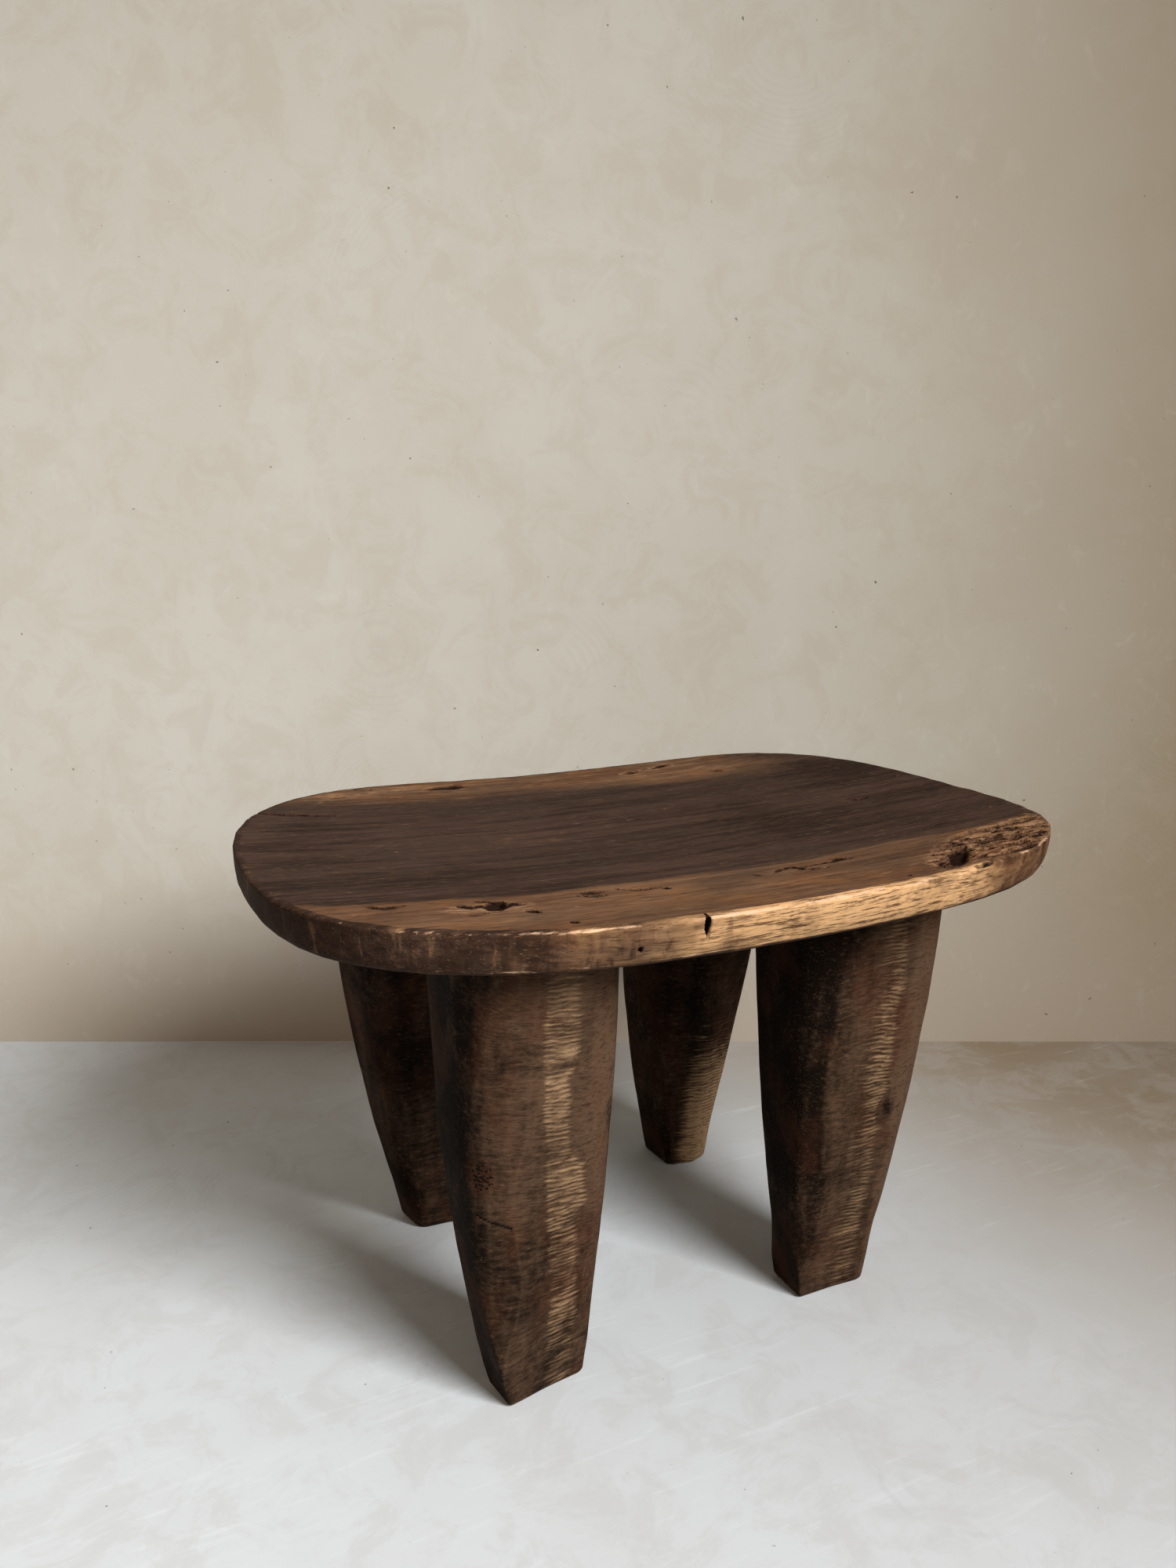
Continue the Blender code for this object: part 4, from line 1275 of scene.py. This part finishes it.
class Weave:
    """Short ways to place shader nodes and join them, and the colour laid so far."""

    def __init__(self, name):
        self.material = bpy.data.materials.new(name)
        self.material.use_nodes = True
        self.tree = self.material.node_tree
        self.shader = self.tree.nodes["Principled BSDF"]
        self.colour = None

    def join(self, value, socket):
        """Link an output to a socket, or set the socket to a number, vector or colour."""
        if isinstance(value, bpy.types.NodeSocket):
            self.tree.links.new(value, socket)
        elif socket.type == "RGBA":
            socket.default_value = (*value, 1.0)
        else:
            socket.default_value = value

    def node(self, kind, inputs, **settings):
        """The outputs of a new node with its settings and with values joined to its inputs."""
        node = self.tree.nodes.new("ShaderNode" + kind)
        for key, value in settings.items():
            setattr(node, key, value)
        for key, value in inputs.items():
            self.join(value, node.inputs[key])
        return node.outputs

    def sums(self, operation, *values):
        """One operation on up to three values."""
        return self.node("Math", dict(enumerate(values)), operation=operation)[0]

    def vector_sums(self, operation, *values):
        """One operation on up to three vectors."""
        return self.node("VectorMath", dict(enumerate(values)), operation=operation)

    def times(self, first, second):
        """First times second."""
        return self.sums("MULTIPLY", first, second)

    def plus(self, value, share, rest):
        """The value times its share, plus the rest."""
        return self.sums("MULTIPLY_ADD", value, share, rest)

    def stir(self, value, pattern, share):
        """The value plus a share of how far a pattern lies from one half."""
        return self.plus(self.sums("SUBTRACT", pattern, 0.5), share, value)

    def here(self):
        """Object coordinates."""
        return self.node("TexCoord", {})["Object"]

    def place(self, scale, source=None, turn=0.0):
        """Coordinates scaled along each axis and turned about the upright one."""
        source = source or self.here()
        return self.node("Mapping", {"Vector": source, "Scale": scale, "Rotation": (0, 0, turn)})[0]

    def noise(self, where, detail, rough=0.5, distortion=0.0):
        """Layered noise with features about one unit long."""
        inputs = {"Scale": 1.0, "Detail": detail, "Roughness": rough, "Distortion": distortion}
        return self.node("TexNoise", {"Vector": where, **inputs})

    def pattern(self, scale, detail, rough=0.5, along=None, distortion=0.0):
        """Layered noise with the given number of features a metre along each axis."""
        return self.noise(self.place(scale, along), detail, rough, distortion)["Fac"]

    def cells(self, where, scale):
        """Scattered spots: how far the nearest one is, and its position."""
        return self.node("TexVoronoi", {"Vector": where, "Scale": scale}, feature="F1")

    def span(self, value, low, high, most=1.0):
        """0 where the value is low and most where it is high, as 3t^2 - 2t^3 between them."""
        inputs = {"Value": value, "From Min": low, "From Max": high, "To Max": most}
        return self.node("MapRange", inputs, interpolation_type="SMOOTHSTEP")["Result"]

    def blend(self, share, first, second):
        """First plus the share times what second has over first."""
        return self.node("Mix", {"Factor": share, 6: first, 7: second}, data_type="RGBA")[2]

    def coat(self, share, colour):
        """Lay a colour over what is there, as far as the share says."""
        self.colour = self.blend(share, self.colour, colour)

    def carried(self, name):
        """A mark that the mesh carries."""
        return self.node("Attribute", {}, attribute_name=name)["Fac"]

    def bump(self, height, strength, distance, normal=None):
        """The surface's direction, tilted by a height."""
        under = {"Normal": normal} if normal else {}
        inputs = {"Height": height, "Strength": strength, "Distance": distance, **under}
        return self.node("Bump", inputs)["Normal"]

    def finish(self, roughness, normal, specular):
        """Join the laid colour, the roughness and the direction to the shader."""
        self.join(self.colour, self.shader.inputs["Base Color"])
        self.join(roughness, self.shader.inputs["Roughness"])
        self.join(normal, self.shader.inputs["Normal"])
        self.shader.inputs["Specular IOR Level"].default_value = specular
        return self.material


def wavy_grain(weave, bend):
    """Object coordinates pushed sideways by bend times slow noise, so that the grain bends."""
    slow = weave.noise(weave.place((5, 9, 9)), 2.0)["Color"]
    return weave.vector_sums("MULTIPLY_ADD", slow, (0, bend, bend), weave.here())[0]


def seat_patterns(weave):
    """The noise that the seat's coats share: along its wavy grain, then across all of it."""
    grain = wavy_grain(weave, bend=0.016)
    return SimpleNamespace(
        broad=weave.pattern((3.0, 40, 40), 4.0, 0.55, along=grain),
        middle=weave.pattern((9, 230, 230), 5.0, 0.6, along=grain),
        fine=weave.pattern((60, 800, 800), 4.0, 0.65, along=grain),
        flecks=weave.pattern((110, 1400, 1400), 2.0, along=grain),
        lines=weave.pattern((40, 600, 600), 6.0, 0.72, along=grain),
        patina=weave.pattern((9, 16, 16), 5.0, 0.6),
        patches=weave.pattern((26, 40, 34), 5.0, 0.62),
        strips=weave.pattern((120, 120, 11), 5.0, 0.65),
        mottle=weave.pattern((70, 110, 70), 5.0, 0.65),
        crumbs=weave.pattern((130, 520, 520), 4.0, 0.6),
    )


def heart_and_sap(weave, wood, seen):
    """Streaky heartwood, outer wood where the sapwood mark is past a tenth, and pale wood at its full.

    Gives back how pale each place is.
    """
    streak = weave.plus(seen.broad, 0.30, weave.times(seen.middle, 0.35))
    streak = weave.span(weave.plus(seen.patina, 0.35, streak), 0.41, 0.59)
    sap = weave.stir(weave.carried("sapwood"), seen.middle, 0.40)
    sap = weave.stir(sap, seen.mottle, 0.35)
    outer_share = weave.span(sap, 0.08, 0.55)
    pale_share = weave.span(sap, 0.52, 0.98)
    weave.colour = weave.blend(streak, wood.heart_dark, wood.heart_light)
    weave.coat(outer_share, weave.blend(streak, wood.sap_dark, wood.sap_light))
    weave.coat(weave.times(weave.span(seen.patches, 0.50, 0.68, 0.55), outer_share), SEAT_TINTS.orange)
    weave.coat(weave.times(weave.span(seen.patches, 0.48, 0.32, 0.55), outer_share), SEAT_TINTS.ash)
    weave.coat(pale_share, wood.rim_pale)
    dull = weave.sums("SUBTRACT", 1.1, pale_share)
    weave.coat(weave.times(weave.span(seen.patina, 0.45, 0.70, 0.6), dull), SEAT_TINTS.soot)
    return pale_share


def rim_flats(weave, seen, pale_share):
    """Dark and bright flats on the rim, by their tone and upright strips, weaker where it is pale."""
    tone = weave.stir(weave.carried("tone"), seen.patches, 2.0)
    tone = weave.stir(tone, seen.strips, 3.6)
    tone = weave.stir(tone, seen.mottle, 0.8)
    plain = weave.sums("SUBTRACT", 1.0, weave.times(pale_share, 0.7))
    on_rim = weave.times(weave.carried("rim"), plain)
    weave.coat(weave.times(weave.span(tone, 0.55, 0.0, 0.74), on_rim), SEAT_TINTS.dark_flat)
    weave.coat(weave.times(weave.span(tone, 0.62, 1.15, 0.50), on_rim), SEAT_TINTS.bright_flat)


def seat_wood(wood):
    """Dark heartwood and golden sapwood with lengthwise grain, worn pale along the edge.

    Over them go grain lines, dashes and flecks, pale splinters, the rubbed
    edge, and the stained rims and black floors of the hollows.
    """
    weave = Weave("seat_wood")
    seen = seat_patterns(weave)
    pale_share = heart_and_sap(weave, wood, seen)
    rim_flats(weave, seen, pale_share)
    line_share = weave.plus(pale_share, 0.55, 0.45)
    weave.coat(weave.times(weave.span(seen.lines, 0.50, 0.40, 0.85), line_share), SEAT_TINTS.line)
    weave.coat(weave.span(seen.fine, 0.46, 0.36, 0.60), SEAT_TINTS.dash)
    weave.coat(weave.span(seen.flecks, 0.58, 0.74, 0.34), SEAT_TINTS.fleck)

    splinters = weave.carried("splinters")
    fibres = weave.times(weave.span(seen.middle, 0.48, 0.66), splinters)
    weave.coat(weave.times(fibres, 0.60), SEAT_TINTS.fibre)
    worn = weave.stir(weave.carried("wear"), seen.fine, 1.6)
    worn = weave.stir(worn, seen.mottle, 1.8)
    weave.coat(weave.span(worn, 0.38, 1.05), wood.worn)
    hollow = weave.stir(weave.carried("hollow"), seen.crumbs, 0.40)
    gaps = weave.times(weave.span(seen.crumbs, 0.46, 0.38), splinters)
    hollow = weave.plus(gaps, 0.42, hollow)
    raised = weave.span(seen.crumbs, 0.50, 0.60)
    weave.coat(weave.times(weave.span(splinters, 0.05, 0.35, 0.7), raised), SEAT_TINTS.lifted_fibre)
    weave.coat(weave.span(hollow, 0.24, 0.46, 0.62), SEAT_TINTS.stain)
    dark = weave.span(hollow, 0.42, 0.62, 0.97)
    weave.coat(dark, SEAT_TINTS.gap)

    rough = weave.plus(dark, 0.3, weave.stir(wood.roughness, seen.middle, 0.3))
    relief = weave.plus(seen.fine, 0.8, weave.times(seen.middle, 0.7))
    normal = weave.bump(relief, 0.6, 0.0006)
    normal = weave.bump(seen.mottle, 0.25, 0.0008, normal)
    pressed = weave.times(weave.span(hollow, 0.30, 0.65), -1.0)
    normal = weave.bump(pressed, 0.8, 0.0016, normal)
    return weave.finish(rough, normal, WOOD_SPECULAR)


def level_lines(weave, middle):
    """Fine level lines across the grain: the sine of the height, bent by noise."""
    here = weave.node("SeparateXYZ", {0: weave.here()})
    lift = weave.plus(here["X"], 0.12, here["Z"])
    turns = weave.plus(weave.pattern((26, 26, 30), 3.0), 34.0, weave.times(lift, 2450.0))
    turns = weave.plus(middle, 4.0, turns)
    return weave.sums("SINE", weave.plus(weave.pattern((14, 14, 75), 2.0), 12.0, turns))


def leg_wood(wood):
    """Dark patina in hewn stripes over cross-cut grain, golden where the hand burnishes it and as a
    painted highlight where the legs face the light.

    The streaks are the mark of each flat's tone stirred by six patterns. The
    golden wood, partly burnished wood and partly painted highlight and painted
    light, shows where its mark, stirred by the grain and the level lines, is high.
    Dark lines, dashes, glints, specks and worm holes go over it.
    """
    weave = Weave("leg_wood")
    grain = wavy_grain(weave, bend=0.045)
    broad = weave.pattern((7, 30, 20), 4.0, 0.6, along=grain)
    middle = weave.pattern((30, 380, 420), 4.0, 0.6, along=grain)
    fine = weave.pattern((160, 900, 1000), 4.0, 0.65, along=grain)
    blotch = weave.pattern((42, 42, 26), 7.0, 0.66, distortion=0.6)
    smears = weave.pattern((75, 75, 12), 6.0, 0.7)
    warmth = weave.pattern((34, 34, 22), 5.0, 0.6)
    speckle = weave.pattern((260, 420, 420), 5.0, 0.7)
    level_wave = level_lines(weave, middle)

    streak = weave.carried("tone")
    for pattern, share in ((broad, 0.5), (blotch, -1.2), (smears, 0.7), (middle, 0.7), (speckle, 0.7)):
        streak = weave.stir(streak, pattern, share)
    streak = weave.plus(weave.carried("ridge"), 0.12, streak)
    weave.colour = weave.blend(weave.span(streak, 0.0, 1.0), wood.leg_dark, wood.leg_light)
    weave.coat(weave.span(warmth, 0.46, 0.64, 0.38), LEG_TINTS.red)
    gold = weave.carried("wear")
    lines = weave.plus(level_wave, 0.11, weave.stir(gold, middle, 1.3))
    lines = weave.stir(lines, blotch, -0.35)
    # The golden coat is partly burnished wood and foot wear, partly painted light: a painted highlight on
    # the front strips and painted light low on the back right leg.
    weave.coat(weave.span(lines, 0.28, 1.15), wood.leg_gold)
    dark_lines = weave.times(weave.span(level_wave, -0.35, -1.0, 0.62), weave.span(gold, 0.15, 0.6))
    weave.coat(weave.times(dark_lines, weave.span(warmth, 0.36, 0.56)), LEG_TINTS.dark_line)
    weave.coat(weave.span(fine, 0.48, 0.37, 0.55), LEG_TINTS.dash)
    weave.coat(weave.span(fine, 0.56, 0.70, 0.30), LEG_TINTS.glint)
    weave.coat(weave.span(speckle, 0.60, 0.72, 0.20), LEG_TINTS.speck)

    worm = weave.carried("worm")
    weave.coat(weave.times(worm, 0.45), LEG_TINTS.worm_dust)
    holes = weave.cells(weave.place((520, 520, 520)), 1.0)["Distance"]
    bored = weave.span(weave.plus(holes, -1.0, weave.times(worm, 0.50)), 0.0, 0.06)
    hollow = weave.sums("MAXIMUM", weave.carried("hollow"), bored)
    weave.coat(weave.span(hollow, 0.2, 0.6, 0.95), LEG_TINTS.gap)

    rough = weave.stir(wood.roughness, blotch, 0.4)
    normal = weave.bump(weave.plus(fine, 0.6, middle), 0.55, 0.0006)
    ripples = weave.times(level_wave, weave.span(gold, 0.1, 0.7))
    normal = weave.bump(ripples, 0.35, 0.00025, normal)
    normal = weave.bump(weave.times(hollow, -1.0), 0.6, 0.001, normal)
    return weave.finish(rough, normal, WOOD_SPECULAR)


def trowel_strokes(weave):
    """Straight fine strokes in three ways, each only in its own patches; the strongest counts."""
    strokes = None
    for number, turn in enumerate((0.5, -0.35, 1.3)):
        lines = weave.noise(weave.place((9 + 3 * number, 150, 40), turn=turn), 3.0, 0.65, 0.7)["Fac"]
        patch = weave.noise(weave.place((3.1 + number, 3.1, 3.1), turn=turn + 1), 1.0)["Fac"]
        part = weave.times(weave.span(lines, 0.58, 0.72), weave.span(patch, 0.48, 0.62))
        strokes = weave.sums("MAXIMUM", strokes, part) if strokes else part
    return strokes


def trowel_arcs(weave, wobble):
    """Fine arcs about the middle of each large cell, as a trowel's edge sweeps them, in some places.

    They are the sine of the distance from that middle, stirred by wobble, in a
    ring about it.
    """
    spot = weave.place((1, 1, 1))
    radius = weave.vector_sums("DISTANCE", spot, weave.cells(spot, 4.2)["Position"])["Value"]
    turns = weave.plus(wobble, 14.0, weave.times(radius, 1500.0))
    lines = weave.span(weave.sums("SINE", turns), 0.10, 1.0)
    ring = weave.times(weave.span(radius, 0.035, 0.055), weave.span(radius, 0.125, 0.09))
    swept = weave.span(weave.pattern((8.5, 8.5, 8.5), 3.0, 0.6), 0.54, 0.64)
    return weave.times(weave.times(lines, ring), swept)


def plaster(name, colour, far_shade_colour, cloud_and_shade_colour, marks, far, low):
    """Troweled plaster that can be seen through from behind.

    Its colour darkens slowly to the far one along a way over the ground, as
    painted shade where the light falls off: far holds the shares of the ways
    right and ahead, and where the change begins and ends. Lower down it gets
    dim, as painted shade: low holds where that begins and ends and its most.
    Soft clouds of the dim colour, strokes, arcs and specks go over it.
    """
    weave = Weave(name)
    here = weave.node("SeparateXYZ", {0: weave.place((1, 1, 1), turn=CAMERA_YAW)})
    clouds = weave.pattern((2.6, 2.6, 2.6), 4.0, 0.55)
    small = weave.pattern((11, 11, 11), 5.0, 0.62)
    mottle = weave.pattern((24, 24, 24), 9.0, 0.75, distortion=0.8)
    specks = weave.pattern((210, 210, 210), 2.0)
    grit = weave.pattern((160, 160, 160), 2.0, 0.6)
    right, ahead, shade_from, shade_to = far
    way = weave.plus(here["X"], right, weave.times(here["Y"], ahead))
    way = weave.stir(way, clouds, 0.35)
    # Painted shade: darker towards the far side, where the light falls off.
    weave.colour = weave.blend(weave.span(way, shade_from, shade_to), colour, far_shade_colour)
    # Painted shade: dim low down, where the backdrop meets the floor.
    weave.coat(weave.span(weave.stir(here["Z"], clouds, 0.10), *low), cloud_and_shade_colour)
    weave.coat(weave.span(clouds, 0.40, 0.66, 0.16), cloud_and_shade_colour)
    weave.coat(weave.span(small, 0.36, 0.74, 0.22), cloud_and_shade_colour)
    weave.coat(weave.times(trowel_strokes(weave), marks), np.minimum(1.30 * np.array(colour), 1))
    weave.coat(weave.span(mottle, 0.46, 0.60, 0.30), cloud_and_shade_colour)
    weave.coat(weave.times(trowel_arcs(weave, small), 1.3 * marks), 0.78 * np.array(colour))
    weave.coat(weave.span(specks, 0.755, 0.80, 0.75), 0.16 * np.array(far_shade_colour))
    weave.finish(PLASTER_ROUGHNESS, weave.bump(grit, 0.12, 0.0006), PLASTER_SPECULAR)

    behind = weave.node("NewGeometry", {})["Backfacing"]
    clear = weave.node("BsdfTransparent", {})[0]
    one_sided = weave.node("MixShader", {0: behind, 1: weave.shader.outputs[0], 2: clear})[0]
    weave.join(one_sided, weave.tree.nodes["Material Output"].inputs["Surface"])
    return weave.material


# Operators
class STOOL_OT_seat(bpy.types.Operator):
    """Make the dished seat with its split, eroded hollows and worn edge"""

    bl_idname = "stool.seat"
    bl_label = "Make seat"

    def execute(self, context):
        scene = context.scene
        seed = scene.stool_stage.samples_seed
        rings, kinds, marks = seat_surface(scene.stool_seat, seed)
        marks["sapwood"], marks["wear"] = seat_tones(rings, kinds, seed)
        piece = ring_mesh("seat_slab", rings, marks)
        piece.data.materials.append(seat_wood(scene.stool_wood))
        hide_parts("seat")
        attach(piece, "root")
        return {"FINISHED"}


class STOOL_OT_legs(bpy.types.Operator):
    """Make the four hewn legs"""

    bl_idname = "stool.legs"
    bl_label = "Make legs"

    def execute(self, context):
        scene = context.scene
        seed = scene.stool_stage.samples_seed
        material = leg_wood(scene.stool_wood)
        for number, (name, leg) in enumerate(LEGS.items()):
            grid = FRONT_GRID if leg["side"][1] < 0 else BACK_GRID
            rings, angles, shade, ridge = leg_surface(
                leg, number, scene.stool_seat, scene.stool_legs, seed, *grid
            )
            depth, stain, marks = leg_marks(name, rings, seed)
            rings[..., 0] -= depth * np.cos(angles)
            rings[..., 1] -= depth * np.sin(angles)
            above = np.clip(rings[..., 2] - FOOT_WEAR_START, 0, None)
            marks["wear"] = np.maximum(marks["wear"], FOOT_WEAR * np.exp(-above / FOOT_WEAR_HEIGHT))
            # stain darkens the tone for real stains and blots, and for painted shade: the front right
            # leg's black shadow and the back legs' upper parts.
            marks["tone"] = shade * (1 - stain)
            marks["ridge"] = ridge
            piece = ring_mesh(name + "_hewn", rings, marks)
            piece.data.materials.append(material)
            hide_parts(name)
            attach(piece, "root")
        return {"FINISHED"}


def plane(name, middle, right, up, material):
    """A flat face whose corners are its middle plus and minus the ways right and up."""
    mesh = bpy.data.meshes.new(name)
    corners = [middle - right - up, middle + right - up, middle + right + up, middle - right + up]
    mesh.from_pydata([tuple(corner) for corner in corners], [], [(0, 1, 2, 3)])
    mesh.materials.append(material)
    return hold(name, mesh)


class STOOL_OT_stage(bpy.types.Operator):
    """Make the floor, the backdrop, the light and the camera"""

    bl_idname = "stool.stage"
    bl_label = "Make stage"

    def execute(self, context):
        scene = context.scene
        stage = scene.stool_stage
        floor = plane(
            "floor",
            Vector((0, 0, FLOOR_Z)),
            Vector((FLOOR_REACH, 0, 0)),
            Vector((0, FLOOR_REACH, 0)),
            plaster("floor_plaster", stage.floor_colour, *FLOOR_LOOK),
        )
        ahead = Vector((math.sin(CAMERA_YAW), math.cos(CAMERA_YAW), 0))
        right = Vector((math.cos(CAMERA_YAW), -math.sin(CAMERA_YAW), 0))
        half_height = Vector((0, 0, WALL_HEIGHT / 2))
        wall = plane(
            "backdrop",
            ahead * stage.wall_distance + half_height,
            right * WALL_REACH,
            half_height,
            plaster("backdrop_plaster", stage.wall_colour, *WALL_LOOK),
        )

        lamp = bpy.data.lights.new("key_light", "AREA")
        lamp.shape = "SQUARE"
        lamp.size = stage.key_size
        lamp.energy = stage.key_power
        lamp.color = KEY_COLOUR
        lamp.spread = KEY_SPREAD
        holder = hold("key_light", lamp)
        holder.location = KEY_SPOT
        holder.rotation_euler = (Vector(KEY_TARGET) - Vector(KEY_SPOT)).to_track_quat("-Z", "Y").to_euler()
        holder.visible_camera = False
        scene.world = bpy.data.worlds.new("room_light")
        scene.world.use_nodes = True
        room = scene.world.node_tree.nodes["Background"]
        room.inputs["Color"].default_value = ROOM_COLOUR
        room.inputs["Strength"].default_value = ROOM_STRENGTH

        camera = bpy.data.cameras.new("camera")
        camera.lens = CAMERA_LENS
        camera.sensor_width = CAMERA_SENSOR
        scene.camera = hold("camera", camera)
        scene.camera.location = CAMERA_SPOT
        scene.camera.rotation_euler = (math.pi / 2 - CAMERA_PITCH, 0, -CAMERA_YAW)
        scene.view_settings.view_transform = "Standard"
        return {"FINISHED"}


GROUPS = {
    "stool_seat": SeatSettings,
    "stool_legs": LegSettings,
    "stool_wood": WoodSettings,
    "stool_stage": StageSettings,
}
MAKERS = (STOOL_OT_seat, STOOL_OT_legs, STOOL_OT_stage)


class STOOL_PT_panel(bpy.types.Panel):
    """The stool's makers and their settings"""

    bl_idname = "STOOL_PT_panel"
    bl_label = "Carved stool"
    bl_space_type = "VIEW_3D"
    bl_region_type = "UI"
    bl_category = "Stool"

    def draw(self, context):
        layout = self.layout
        for group in GROUPS:
            settings = getattr(context.scene, group)
            box = layout.box()
            for key in settings.bl_rna.properties.keys():
                if key not in ("rna_type", "name"):
                    box.prop(settings, key)
        for maker in MAKERS:
            layout.operator(maker.bl_idname)


def register():
    """Add the settings and the makers to Blender."""
    for key, group in GROUPS.items():
        bpy.utils.register_class(group)
        setattr(bpy.types.Scene, key, PointerProperty(type=group))
    for item in (*MAKERS, STOOL_PT_panel):
        bpy.utils.register_class(item)


def unregister():
    """Take them out again, last first."""
    for item in (STOOL_PT_panel, *reversed(MAKERS)):
        bpy.utils.unregister_class(item)
    for key, group in GROUPS.items():
        delattr(bpy.types.Scene, key)
        bpy.utils.unregister_class(group)


def main():
    """Make the stool and its stage."""
    register()
    bpy.ops.stool.seat()
    bpy.ops.stool.legs()
    bpy.ops.stool.stage()


if __name__ == "__main__":
    main()
